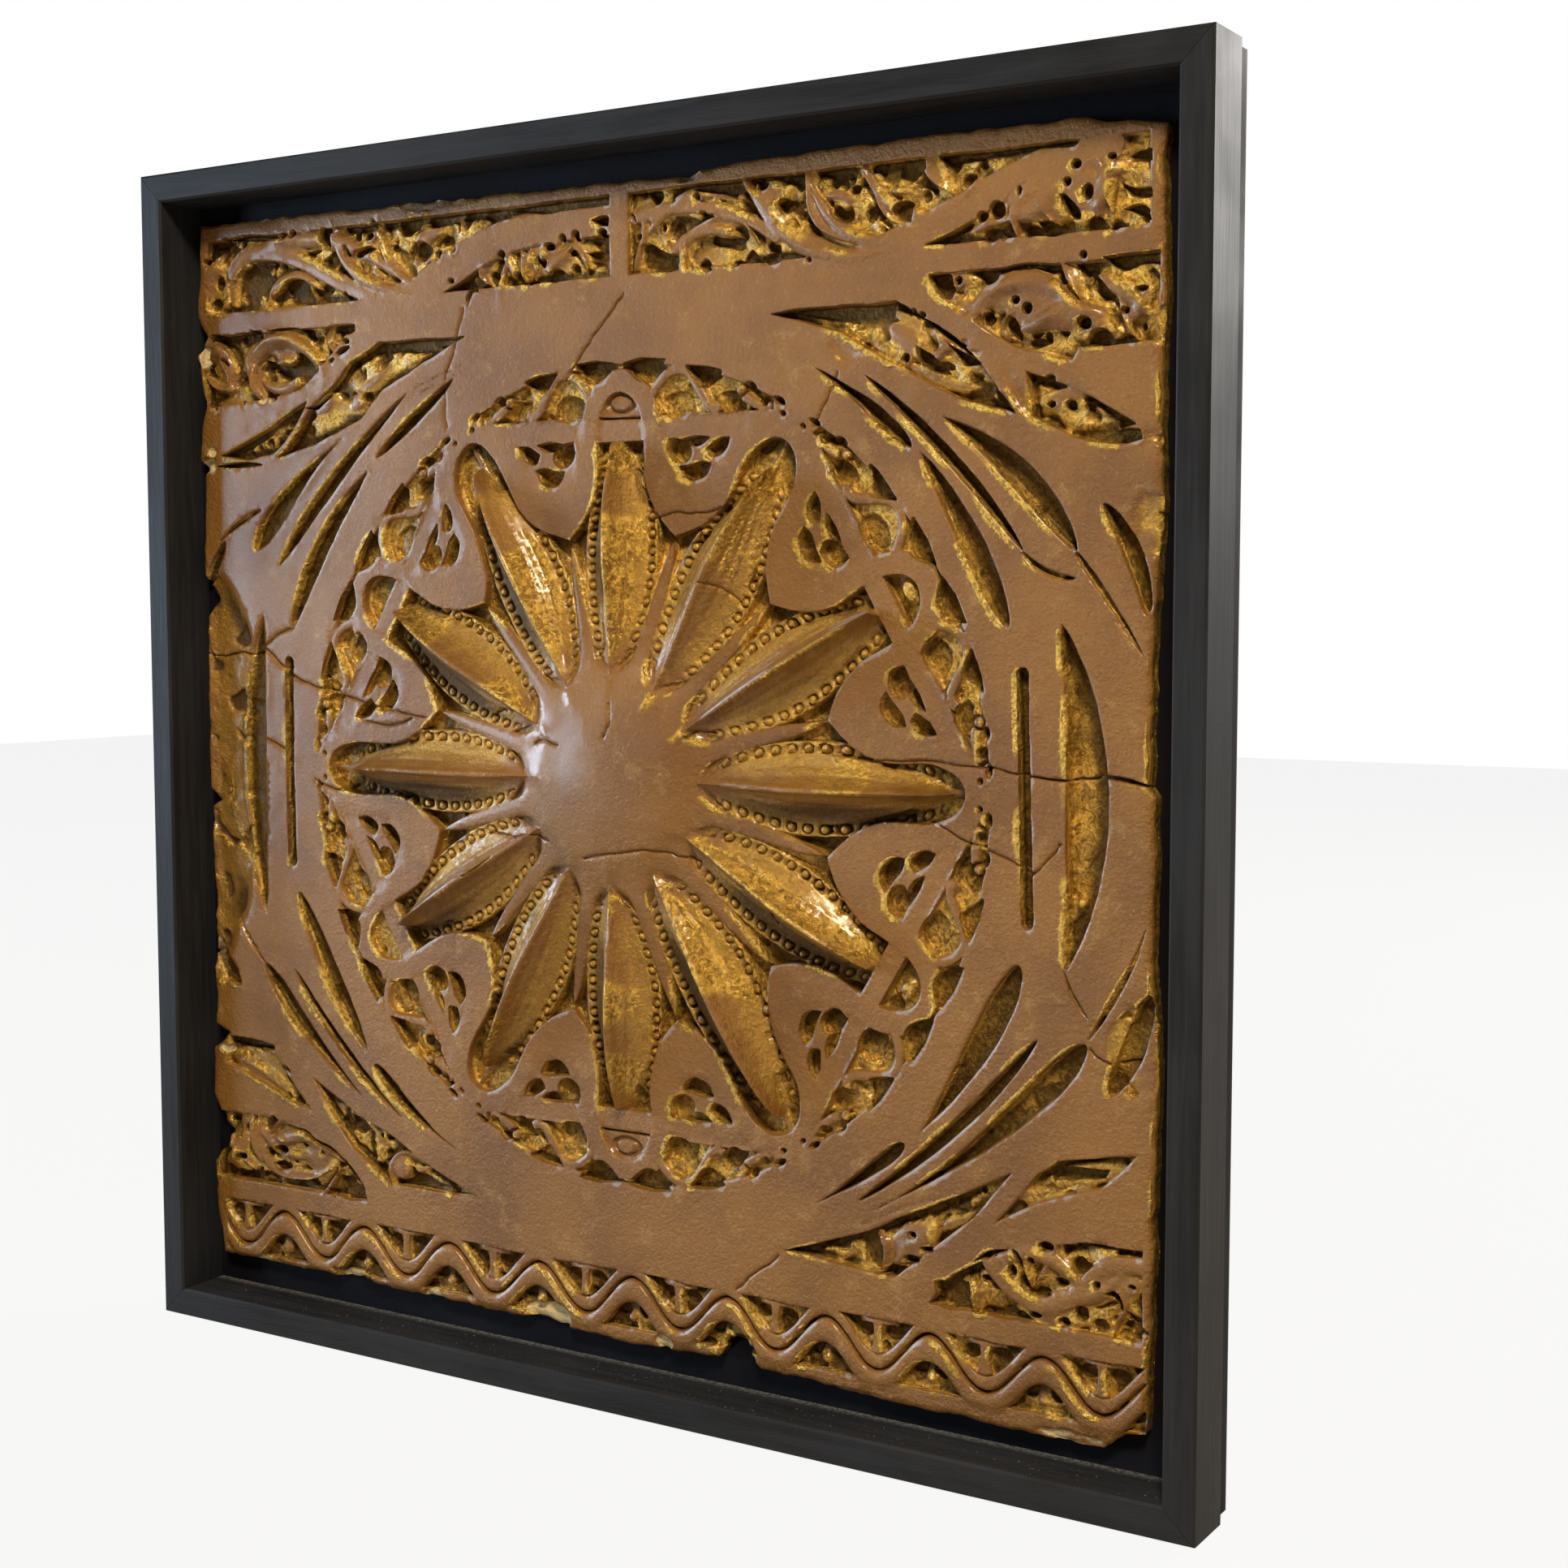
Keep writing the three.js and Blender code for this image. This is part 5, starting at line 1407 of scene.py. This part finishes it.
def triangles_within(error, allowed):
    """Right triangles that leave out every point whose error is small enough, as rows of grid points."""
    n = CELLS
    todo = np.array([[0, 0, n, n, 0, n], [n, n, 0, 0, n, 0]])
    done = []
    while len(todo):
        r = (todo[:, 0] + todo[:, 2]) // 2
        c = (todo[:, 1] + todo[:, 3]) // 2
        large = np.abs(todo[:, :2] - todo[:, 4:6]).sum(1) > 1
        split = large & (error[r, c] > allowed)
        done.append(todo[~split])
        t, r, c = todo[split], r[split][:, None], c[split][:, None]
        halves = [np.hstack([t[:, 4:6], t[:, 0:2], r, c]), np.hstack([t[:, 2:4], t[:, 4:6], r, c])]
        todo = np.concatenate(halves)
    rows = np.concatenate(done)
    return rows[:, 0::2] * (n + 1) + rows[:, 1::2]


def fitted_triangles():
    """The triangles that fit the budget with the least error."""
    error = midpoint_errors()
    inside = (rim_depth > 0).ravel()
    low, high = 0.005, 1.5
    for _ in range(9):
        allowed = math.sqrt(low * high)
        triangles = triangles_within(error, allowed)
        triangles = triangles[inside[triangles].any(1)]
        low, high = (allowed, high) if len(triangles) > TRIANGLE_BUDGET else (low, allowed)
    if len(triangles) > TRIANGLE_BUDGET:
        triangles = triangles_within(error, high)
        triangles = triangles[inside[triangles].any(1)]
    return triangles


def clipped(triangles):
    """Cuts the triangles off at the broken outline. A point is x, z, height and the stored values."""
    depth = rim_depth.ravel().astype(np.float64)
    used, index = np.unique(triangles, return_inverse=True)
    index = index.reshape(triangles.shape)
    rows, cols = np.divmod(used, CELLS + 1)
    values = [field.ravel()[used] for field in (height, gilding, bare, hollow_shade, left_edge_highlight)]
    points = np.stack([xs[cols], zs[rows], *values], 1).astype(np.float64)
    depth = depth[used]
    state = depth[index] > 0
    kept = index[state.all(1)]
    crossing = index[state.any(1) & ~state.all(1)]
    flags = depth[crossing] > 0
    lone = np.where(flags.sum(1) == 1, flags.argmax(1), (~flags).argmax(1))
    order = (lone[:, None] + np.arange(3)) % 3
    crossing = np.take_along_axis(crossing, order, 1)
    single = depth[crossing[:, 0]] > 0
    pairs = np.concatenate([crossing[:, [0, 1]], crossing[:, [0, 2]]])
    keys = np.sort(pairs, 1)
    edges, cut_index = np.unique(keys, axis=0, return_inverse=True)
    cut_index = cut_index.reshape(-1)
    share = depth[edges[:, 0]] / (depth[edges[:, 0]] - depth[edges[:, 1]])
    new = points[edges[:, 0]] + (points[edges[:, 1]] - points[edges[:, 0]]) * share[:, None]
    first = len(points) + cut_index[: len(crossing)]
    second = len(points) + cut_index[len(crossing):]
    a, b, c = crossing.T
    tips = np.stack([a, first, second], 1)[single]
    quads = ~single
    lower = np.stack([first, b, c], 1)[quads]
    upper = np.stack([first, c, second], 1)[quads]
    points = np.concatenate([points, new])
    faces = np.concatenate([kept, tips, lower, upper])
    return points, faces


def boundary_edges(faces):
    """The edges that belong to one triangle only."""
    edges = np.concatenate([faces[:, [0, 1]], faces[:, [1, 2]], faces[:, [2, 0]]])
    keys = np.sort(edges, 1)
    _, first, count = np.unique(keys[:, 0] * 2**32 + keys[:, 1], return_index=True, return_counts=True)
    return edges[first[count == 1]]


def skirted(points, faces):
    """Closes one sector of the casting with walls and a flat rear."""
    used, index = np.unique(faces, return_inverse=True)
    faces = index.reshape(faces.shape)
    points = points[used]
    rim = boundary_edges(faces)
    ring = np.unique(rim)
    place = np.zeros(len(points), int)
    place[ring] = np.arange(len(ring))
    outer = sampled(rim_depth, points[ring, 0], points[ring, 1]) < 0.5
    rows = [ring]
    stack = [points]
    total = len(points)
    for k, share in enumerate(SKIRT_STEPS):
        row = points[ring].copy()
        row[:, 2] += (FLOOR - row[:, 2]) * share
        if share < 1:
            shake = 0.55 * sampled(lumps, row[:, 0], row[:, 1] + 60 * k) - 0.4
            toward = row[:, :2] - np.array(MEDALLION)
            toward /= np.linalg.norm(toward, axis=1)[:, None]
            row[:, :2] += toward * (shake * outer)[:, None]
        row[:, 3] = np.where(outer, 0.75, row[:, 3])
        rows.append(total + np.arange(len(ring)))
        stack.append(row)
        total += len(ring)
    walls = []
    for upper, lower in zip(rows[:-1], rows[1:]):
        a, b = upper[place[rim[:, 0]]], upper[place[rim[:, 1]]]
        c, d = lower[place[rim[:, 1]]], lower[place[rim[:, 0]]]
        walls += [np.stack([b, a, d], 1), np.stack([b, d, c], 1)]
    centre = points[ring].mean(0)
    centre[2] = FLOOR
    stack.append(centre[None])
    last = rows[-1]
    back = np.stack([last[place[rim[:, 1]]], last[place[rim[:, 0]]], np.full(len(rim), total)], 1)
    return np.concatenate(stack), np.concatenate([faces, *walls, back]), len(faces), rim


def sampled(field, x, z):
    """A field's values at some places."""
    c = np.clip(((x - xs[0]) / CELL).round().astype(int), 0, CELLS)
    r = np.clip(((z - zs[0]) / CELL).round().astype(int), 0, CELLS)
    return field[r, c]


def add_mesh(name, points, faces, layers=()):
    """A mesh object from points in metres and triangles, with values stored at its points."""
    mesh = bpy.data.meshes.new(name)
    mesh.vertices.add(len(points))
    mesh.vertices.foreach_set("co", np.ascontiguousarray(points, np.float32).ravel())
    mesh.loops.add(faces.size)
    mesh.loops.foreach_set("vertex_index", np.ascontiguousarray(faces, np.int32).ravel())
    mesh.polygons.add(len(faces))
    mesh.polygons.foreach_set("loop_start", np.arange(0, faces.size, 3, dtype=np.int32))
    mesh.update(calc_edges=True)
    for layer, values in layers:
        data = mesh.attributes.new(layer, "FLOAT", "POINT").data
        data.foreach_set("value", np.ascontiguousarray(values, np.float32))
    mesh.shade_smooth()
    mesh.set_sharp_from_angle(angle=math.radians(62))
    thing = bpy.data.objects.new(name, mesh)
    bpy.context.scene.collection.objects.link(thing)
    return thing


def rim_order(rim):
    """The length run along the rim up to each edge, as a share of the whole rim."""
    after = dict(zip(rim[:, 0].tolist(), range(len(rim))))
    order, left = [], set(range(len(rim)))
    while left:
        edge = min(left)
        while edge in left:
            left.remove(edge)
            order.append(edge)
            edge = after.get(int(rim[edge, 1]), -1)
    place = np.empty(len(rim), int)
    place[order] = np.arange(len(rim))
    return place


def lay_flat(piece, front, rim, points, faces):
    """A map for the surface: the front as it is seen, the walls in a strip below it, the rear in a corner."""
    low, high = points[:, :2].min(0), points[:, :2].max(0)
    across = 1.0 / (high - low).max()
    flat = (points[:, :2] - low) * across * MAP_FRONT
    places = flat[faces]
    places[:, :, 1] += MAP_LIFT
    count = len(rim)
    spot = rim_order(rim) / count
    after = spot + 1 / count
    for k in range(len(SKIRT_STEPS)):
        rows = [np.full(count, MAP_STRIP - MAP_STRIP_STEP * (k + down)) for down in (0, 1)]
        a, b = (np.stack([side, rows[0]], 1) for side in (spot, after))
        d, c = (np.stack([side, rows[1]], 1) for side in (spot, after))
        start = front + 2 * k * count
        places[start: start + count] = np.stack([b, a, d], 1)
        places[start + count: start + 2 * count] = np.stack([b, d, c], 1)
    places[-count:] = flat[faces[-count:]] * MAP_REAR + np.array([1 - MAP_LIFT, MAP_LIFT])
    layer = piece.data.uv_layers.new(name="OFBake")
    layer.data.foreach_set("uv", np.ascontiguousarray(places, np.float32).ravel())


def build_casting(material):
    """The casting's five sectors, split by direction so that each has its share of the triangles."""
    points, faces = clipped(fitted_triangles())
    # Grid triangles may run either way round: all of them face forward
    a, b, c = points[faces[:, 0], :2], points[faces[:, 1], :2], points[faces[:, 2], :2]
    turn = (b[:, 0] - a[:, 0]) * (c[:, 1] - a[:, 1]) - (b[:, 1] - a[:, 1]) * (c[:, 0] - a[:, 0])
    faces[turn < 0] = faces[turn < 0][:, ::-1]
    middle = points[faces].mean(1)[:, :2] - np.array(MEDALLION)
    angle = np.arctan2(middle[:, 1], middle[:, 0])
    limits = np.quantile(angle, np.arange(1, SECTORS) / SECTORS)
    sector = np.searchsorted(limits, angle)
    for k in range(SECTORS):
        part_points, part_faces, front, rim = skirted(points, faces[sector == k])
        place = np.stack([part_points[:, 0], -(FLAT + part_points[:, 2]), part_points[:, 1]], 1) * MM
        layers = zip(LAYERS, part_points[:, 3:].T)
        piece = add_mesh(f"plaster_sector_{k + 1}", place, part_faces, layers)
        piece.data.materials.append(material)
        lay_flat(piece, front, rim, part_points, part_faces)
        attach(piece, "root")
        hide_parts("plaster_panel")


# Materials
BRONZE = (0.265, 0.112, 0.013, 1)
BRONZE_DARK = (0.185, 0.073, 0.008, 1)
BRONZE_PALE = (0.360, 0.200, 0.070, 1)
GOLD = (0.680, 0.405, 0.068, 1)
GOLD_PALE = (0.890, 0.620, 0.200, 1)
OLIVE = (0.202, 0.089, 0.010, 1)
HOLLOW_SHADE_COLOUR = (0.045, 0.017, 0.002, 1)
EDGE_HIGHLIGHT = (0.380, 0.310, 0.290, 1)
CREAM = (0.600, 0.450, 0.210, 1)
STAIN_DARK = (0.011, 0.011, 0.012, 1)
STAIN = (0.022, 0.022, 0.025, 1)
STAIN_PALE = (0.026, 0.027, 0.031, 1)
DUST = (0.200, 0.195, 0.185, 1)
BLACK = (0.004, 0.004, 0.006, 1)
BLACK_PALE = (0.008, 0.007, 0.010, 1)
BACK_DARK = (0.034, 0.031, 0.028, 1)
BACK_PALE = (0.056, 0.050, 0.043, 1)
STAGE = (0.52, 0.49, 0.46, 1)
STAGE_PALE = (0.56, 0.53, 0.50, 1)
WHITE = (1, 1, 1, 1)


def material_with(name, roughness, metallic=0.0, specular=0.5, coat=0.0, coat_roughness=0.3):
    """A node material with its shader set: the material, its tree and its shader."""
    material = bpy.data.materials.new(name)
    material.use_nodes = True
    tree = material.node_tree
    shader = tree.nodes["Principled BSDF"]
    shader.inputs["Roughness"].default_value = roughness
    shader.inputs["Metallic"].default_value = metallic
    shader.inputs["Specular IOR Level"].default_value = specular
    shader.inputs["Coat Weight"].default_value = coat
    shader.inputs["Coat Roughness"].default_value = coat_roughness
    return material, tree, shader


class Nodes:
    """Short ways to add nodes to one tree."""

    def __init__(self, tree):
        self.tree = tree
        self.space = tree.nodes.new("ShaderNodeTexCoord").outputs["Object"]

    def add(self, kind, inputs=(), **settings):
        """A node of this kind. An input is a number, a colour or another node's output."""
        node = self.tree.nodes.new(kind)
        for key, value in settings.items():
            setattr(node, key, value)
        for key, value in dict(inputs).items():
            if isinstance(value, bpy.types.NodeSocket):
                self.tree.links.new(value, node.inputs[key])
            else:
                node.inputs[key].default_value = value
        return node

    def noise(self, size, detail=4.0, roughness=0.55, stretch=(1, 1, 1), distortion=0.0):
        """Noise with lumps of about this size in metres, 0 to 1."""
        scaled = self.add("ShaderNodeMapping", {"Vector": self.space, "Scale": stretch})
        inputs = {"Vector": scaled.outputs[0], "Scale": 1 / size, "Detail": detail, "Roughness": roughness,
                  "Distortion": distortion}
        return self.add("ShaderNodeTexNoise", inputs).outputs["Fac"]

    def ramp(self, value, low, high, to_low=0.0, to_high=1.0):
        """A smooth step between two values."""
        inputs = {"Value": value, "From Min": low, "From Max": high, "To Min": to_low, "To Max": to_high}
        return self.add("ShaderNodeMapRange", inputs, clamp=True, interpolation_type="SMOOTHSTEP").outputs[0]

    def math(self, operation, a, b=0.0):
        return self.add("ShaderNodeMath", {0: a, 1: b}, operation=operation).outputs[0]

    def plus(self, a, b):
        return self.math("ADD", a, b)

    def minus(self, a, b):
        return self.math("SUBTRACT", a, b)

    def times(self, a, b):
        return self.math("MULTIPLY", a, b)

    def mix(self, amount, a, b):
        """The colour a, blended to the colour b by an amount."""
        return self.add("ShaderNodeMix", {0: amount, 6: a, 7: b}, data_type="RGBA").outputs[2]

    def part_of(self, vector, axis):
        """The x, y or z of a vector."""
        return self.add("ShaderNodeSeparateXYZ", {0: vector}).outputs["XYZ".index(axis)]

    def layer(self, name):
        """A value that is stored at the mesh's points."""
        return self.add("ShaderNodeAttribute", attribute_name=name).outputs["Fac"]

    def bump(self, value, distance, strength=1.0, below=None):
        inputs = {"Height": value, "Distance": distance, "Strength": strength}
        if below is not None:
            inputs["Normal"] = below
        return self.add("ShaderNodeBump", inputs).outputs[0]

    def set(self, shader, key, value):
        self.tree.links.new(value, shader.inputs[key])


def painted_plaster():
    """Bronze paint with gilded low ground, painted highlights on edges, painted shade in the hollows and bare
    plaster in the chips.
    """
    material, tree, shader = material_with("painted_plaster", 0.42, 0.6, coat=0.5, coat_roughness=0.21)
    n = Nodes(tree)
    broad = n.noise(0.075, 3)
    patchy = n.noise(0.018, 5, 0.6)
    grain = n.noise(0.0022, 5, 0.65)
    foil = n.noise(0.0060, 6, 0.65, distortion=2.0)
    scratches = n.noise(0.012, 8, 0.72, distortion=1.6)
    gild, bare, hollow_shade, left_edge_highlight = (n.layer(name) for name in LAYERS)

    bronze = n.mix(n.ramp(broad, 0.35, 0.7), BRONZE, BRONZE_DARK)
    bronze = n.mix(n.ramp(patchy, 0.56, 0.75, 0, 0.35), bronze, BRONZE_PALE)
    bronze = n.mix(n.ramp(grain, 0.56, 0.72, 0, 0.5), bronze, BRONZE_PALE)
    bronze = n.mix(n.ramp(grain, 0.44, 0.3, 0, 0.5), bronze, BRONZE_DARK)
    hairs = n.ramp(n.math("ABSOLUTE", n.minus(scratches, 0.5)), 0.0, 0.008, 0.5, 0)
    bronze = n.mix(n.times(hairs, n.ramp(patchy, 0.54, 0.66)), bronze, GOLD_PALE)
    # The pods, which are only partly gilded, are smoother than the gold of the low ground
    crumple = n.ramp(gild, 0.55, 0.9, 0.4, 1)
    foil = n.plus(n.times(n.minus(foil, 0.52), crumple), 0.52)
    gold = n.mix(n.ramp(foil, 0.39, 0.57, 0.15, 1), OLIVE, GOLD)
    # Pale gold flecks in the foil: partly uneven gilding, partly painted glints
    gold = n.mix(n.ramp(foil, 0.57, 0.70, 0, 0.6), gold, GOLD_PALE)
    gilt = n.ramp(n.plus(gild, n.times(n.minus(patchy, 0.5), 0.22)), 0.35, 0.75)
    colour = n.mix(gilt, bronze, gold)
    # Painted highlight: pale grey on the edges that face left
    highlight_mix = n.ramp(n.plus(left_edge_highlight, n.times(grain, 0.4)), 0.45, 1.1, 0, 0.75)
    colour = n.mix(highlight_mix, colour, EDGE_HIGHLIGHT)
    # Painted shade: the hollows are darkened towards a dark brown
    deep = n.ramp(n.plus(hollow_shade, n.times(patchy, 0.3)), 0.35, 1.0, 0, 0.85)
    colour = n.mix(deep, colour, HOLLOW_SHADE_COLOUR)
    broken = n.ramp(n.plus(bare, n.times(patchy, 0.7)), 0.85, 1.1)
    colour = n.mix(broken, colour, CREAM)
    n.set(shader, "Base Color", colour)
    metal = n.ramp(n.minus(gilt, n.times(bare, 1.5)), -0.6, 1.0, 0.0, 0.85)
    n.set(shader, "Metallic", metal)
    dull = n.plus(n.ramp(patchy, 0.3, 0.7, 0.38, 0.50), n.times(deep, 0.15))
    n.set(shader, "Roughness", n.minus(dull, n.times(gilt, 0.14)))
    n.set(shader, "Coat Weight", n.ramp(deep, 0.0, 0.6, 0.46, 0.06))
    skin = n.bump(grain, 0.0013, 0.9)
    skin = n.bump(n.noise(0.0050, 3, 0.6), 0.0014, 0.55, skin)
    skin = n.bump(patchy, 0.0010, 0.5, skin)
    skin = n.bump(scratches, 0.0008, 0.45, skin)
    wrinkles = n.times(foil, n.plus(n.times(gilt, gilt), 0.1))
    skin = n.bump(wrinkles, 0.0018, 0.6, skin)
    n.set(shader, "Normal", skin)
    return material


def stained_wood(along):
    """Charcoal stained wood with its grain along one axis, and a little dust where it faces up."""
    material, tree, shader = material_with(f"stained_wood_{along}", 0.5, 0.0, 0.16)
    n = Nodes(tree)
    stretch = (0.06, 1, 1) if along == "x" else (1, 1, 0.06)
    grain = n.noise(0.006, 6, 0.65, stretch, 0.4)
    fine = n.noise(0.0012, 4, 0.6, stretch)
    cloud = n.noise(0.12, 3)
    specks = n.noise(0.0022, 2, 0.5)
    colour = n.mix(n.ramp(grain, 0.3, 0.7), STAIN_DARK, STAIN)
    colour = n.mix(n.ramp(cloud, 0.4, 0.75, 0, 0.5), colour, STAIN_PALE)
    facing = n.part_of(n.add("ShaderNodeNewGeometry").outputs["Normal"], "Z")
    near_board = n.ramp(n.part_of(n.space, "Y"), -0.0215, -0.0135, 0, 0.55)
    joint = n.plus(near_board, n.times(n.ramp(specks, 0.68, 0.76), 0.8))
    joint = n.times(joint, n.ramp(specks, 0.35, 0.6, 0.25, 1))
    dust = n.times(n.ramp(facing, 0.8, 0.98), joint)
    colour = n.mix(dust, colour, DUST)
    n.set(shader, "Base Color", colour)
    n.set(shader, "Roughness", n.ramp(cloud, 0.3, 0.7, 0.44, 0.60))
    n.set(shader, "Normal", n.bump(fine, 0.0002, 0.5, n.bump(grain, 0.0006, 0.4)))
    return material


def black_board():
    """Black paint on the front of the backboard, and a dusty charcoal on its hidden back."""
    material, tree, shader = material_with("black_board", 0.6, 0.0, 0.1)
    n = Nodes(tree)
    weave = n.noise(0.004, 5, 0.6)
    cloud = n.noise(0.09, 3)
    colour = n.mix(n.ramp(cloud, 0.35, 0.7), BLACK, BLACK_PALE)
    dusty = n.mix(n.ramp(cloud, 0.3, 0.7), BACK_DARK, BACK_PALE)
    colour = n.mix(n.ramp(n.part_of(n.space, "Y"), -0.0020, -0.0005), colour, dusty)
    n.set(shader, "Base Color", colour)
    n.set(shader, "Roughness", n.ramp(cloud, 0.3, 0.7, 0.5, 0.7))
    n.set(shader, "Normal", n.bump(weave, 0.0005, 0.4))
    return material


def pale_stage():
    """A pale floor that keeps its white towards the camera, with soft contact shadows."""
    material, tree, shader = material_with("pale_stage", 0.8, 0.0, 0.2)
    n = Nodes(tree)
    n.set(shader, "Base Color", n.mix(n.noise(0.4), STAGE, STAGE_PALE))
    white = n.add("ShaderNodeEmission", {"Color": WHITE, "Strength": 0.97})
    seen = n.times(n.add("ShaderNodeLightPath").outputs["Is Camera Ray"], 0.92)
    both = n.add("ShaderNodeMixShader", {0: seen, 1: shader.outputs[0], 2: white.outputs[0]})
    tree.links.new(both.outputs[0], tree.nodes["Material Output"].inputs["Surface"])
    return material


# Frame, board, camera and light
# The camera was solved from the corners of the frame in the photograph
CAMERA_PLACE = (0.8132, -1.1462, 0.1013)
CAMERA_FORWARD = (-0.52719, 0.84618, -0.07773)
CAMERA_UP = (-0.04055, 0.06632, 0.99697)
CAMERA_LENS = 51.91
CAMERA_SENSOR = 36
WARM = (1.0, 0.89, 0.68)
NEUTRAL = (1.0, 0.97, 0.93)
# A softbox's name, place, width and height, power in watts and colour. The cool ones stand for a window.
SOFTBOXES = (
    ("key_light", (1.7, -2.9, 3.5), (0.8, 0.8), 252, WARM),
    ("window_light", (-3.4, -2.5, 0.2), (1.0, 1.3), 46, (0.58, 0.77, 1.0)),
    ("side_light", (-3.9, -1.0, 0.5), (0.7, 1.5), 92, (0.62, 0.78, 1.0)),
    ("back_light", (1.6, 3.2, 1.4), (1.5, 1.5), 120, NEUTRAL),
)
AMBIENT = 0.085
FLOOR_HALF = 6.0
FLOOR_GAP = 0.001


def look_along(forward, up):
    """The turn of a camera or a lamp that looks in one direction with another one upward."""
    forward, up = Vector(forward).normalized(), Vector(up).normalized()
    right = forward.cross(up).normalized()
    up = right.cross(forward)
    return Matrix((right, up, -forward)).transposed().to_euler()


def add_camera():
    data = bpy.data.cameras.new("camera")
    data.sensor_width = CAMERA_SENSOR
    data.lens = CAMERA_LENS
    data.clip_end = 50
    camera = bpy.data.objects.new("camera", data)
    camera.location = CAMERA_PLACE
    camera.rotation_euler = look_along(CAMERA_FORWARD, CAMERA_UP)
    bpy.context.scene.collection.objects.link(camera)
    bpy.context.scene.camera = camera


def add_softbox(name, place, size, power, colour):
    """A lamp that faces the panel's middle."""
    data = bpy.data.lights.new(name, "AREA")
    data.shape = "RECTANGLE"
    data.size, data.size_y = size
    data.energy = power
    data.color = colour
    lamp = bpy.data.objects.new(name, data)
    lamp.location = place
    lamp.rotation_euler = look_along(-Vector(place), (0, 0, 1))
    bpy.context.scene.collection.objects.link(lamp)


def add_light():
    """The softboxes, and a dim ambient light behind a white backdrop."""
    for row in SOFTBOXES:
        add_softbox(*row)
    world = bpy.data.worlds.new("studio")
    world.use_nodes = True
    nodes, links = world.node_tree.nodes, world.node_tree.links
    ambient = nodes["Background"]
    ambient.inputs["Color"].default_value = (*NEUTRAL, 1)
    ambient.inputs["Strength"].default_value = AMBIENT
    seen = nodes.new("ShaderNodeBackground")
    seen.inputs["Color"].default_value = WHITE
    seen.inputs["Strength"].default_value = 1.0
    path = nodes.new("ShaderNodeLightPath")
    choice = nodes.new("ShaderNodeMixShader")
    links.new(path.outputs["Is Camera Ray"], choice.inputs[0])
    links.new(ambient.outputs[0], choice.inputs[1])
    links.new(seen.outputs[0], choice.inputs[2])
    links.new(choice.outputs[0], nodes["World Output"].inputs["Surface"])
    bpy.context.scene.world = world
    bpy.context.scene.view_settings.view_transform = "Standard"


def add_floor(low):
    corners = ((-1, -1), (1, -1), (1, 1), (-1, 1))
    points = np.array([(x * FLOOR_HALF, y * FLOOR_HALF, low) for x, y in corners])
    floor = add_mesh("floor", points, np.array([(0, 1, 2), (0, 2, 3)]))
    floor.data.materials.append(pale_stage())
    floor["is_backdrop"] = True


def finish_frame_nodes():
    """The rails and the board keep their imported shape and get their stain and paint."""
    across, upright = stained_wood("x"), stained_wood("z")
    for name, finish in (("rail_top", across), ("rail_bottom", across), ("rail_left", upright),
                         ("rail_right", upright), ("backboard", black_board())):
        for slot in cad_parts[name].material_slots:
            slot.material = finish


# Ground that rises towards the flats keeps less of its gold
outside = (xs[None] - MEDALLION[0]) ** 2 + (zs[:, None] - MEDALLION[1]) ** 2 > RING_EDGE**2
gilding = np.where(outside & (bare < 0.1), gilding * (0.3 + 0.7 * ease((-height - 0.5) / 2.8)), gilding)
# Sharp edges turn gold in places, most of all where they face right towards the warm key light: partly rubbed
# gilding, partly a painted highlight
nearby = blurred(height, 3)
rising = np.gradient(nearby, CELL, axis=1)
rim = ease((height - nearby - 0.30) / 0.8)
edges = rim * ease(0.55 + 0.9 * noise(17)) * (0.2 + 0.8 * ease(0.4 - 2.5 * rising))
# Painted highlight: edges that face left, towards the cool window light, are painted a pale grey and lose
# some gold
left_edge_highlight = rim * ease(2.5 * rising - 0.2) * ease(0.75 + 0.7 * noise(11)) * (height > -3)
gilding = np.clip(np.maximum(gilding, 0.9 * edges) - 0.3 * left_edge_highlight, 0, 1)
# Painted shade: how far a point lies below the ground around it darkens it in the material
broad = blurred(height, 9)
# Painted shade: low ground round the medallion is darkened, most of all at the left
low_ground_shade = 0.5 * ease((-height - 2.5) / 4) * (0.55 - xs[None] / 600) * outside
hollow_shade = np.clip((broad - height) / np.where(outside, 5, 7) + low_ground_shade, -1, 1)
build_casting(painted_plaster())
finish_frame_nodes()
add_floor(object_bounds()[0][2] - FLOOR_GAP)
add_camera()
add_light()
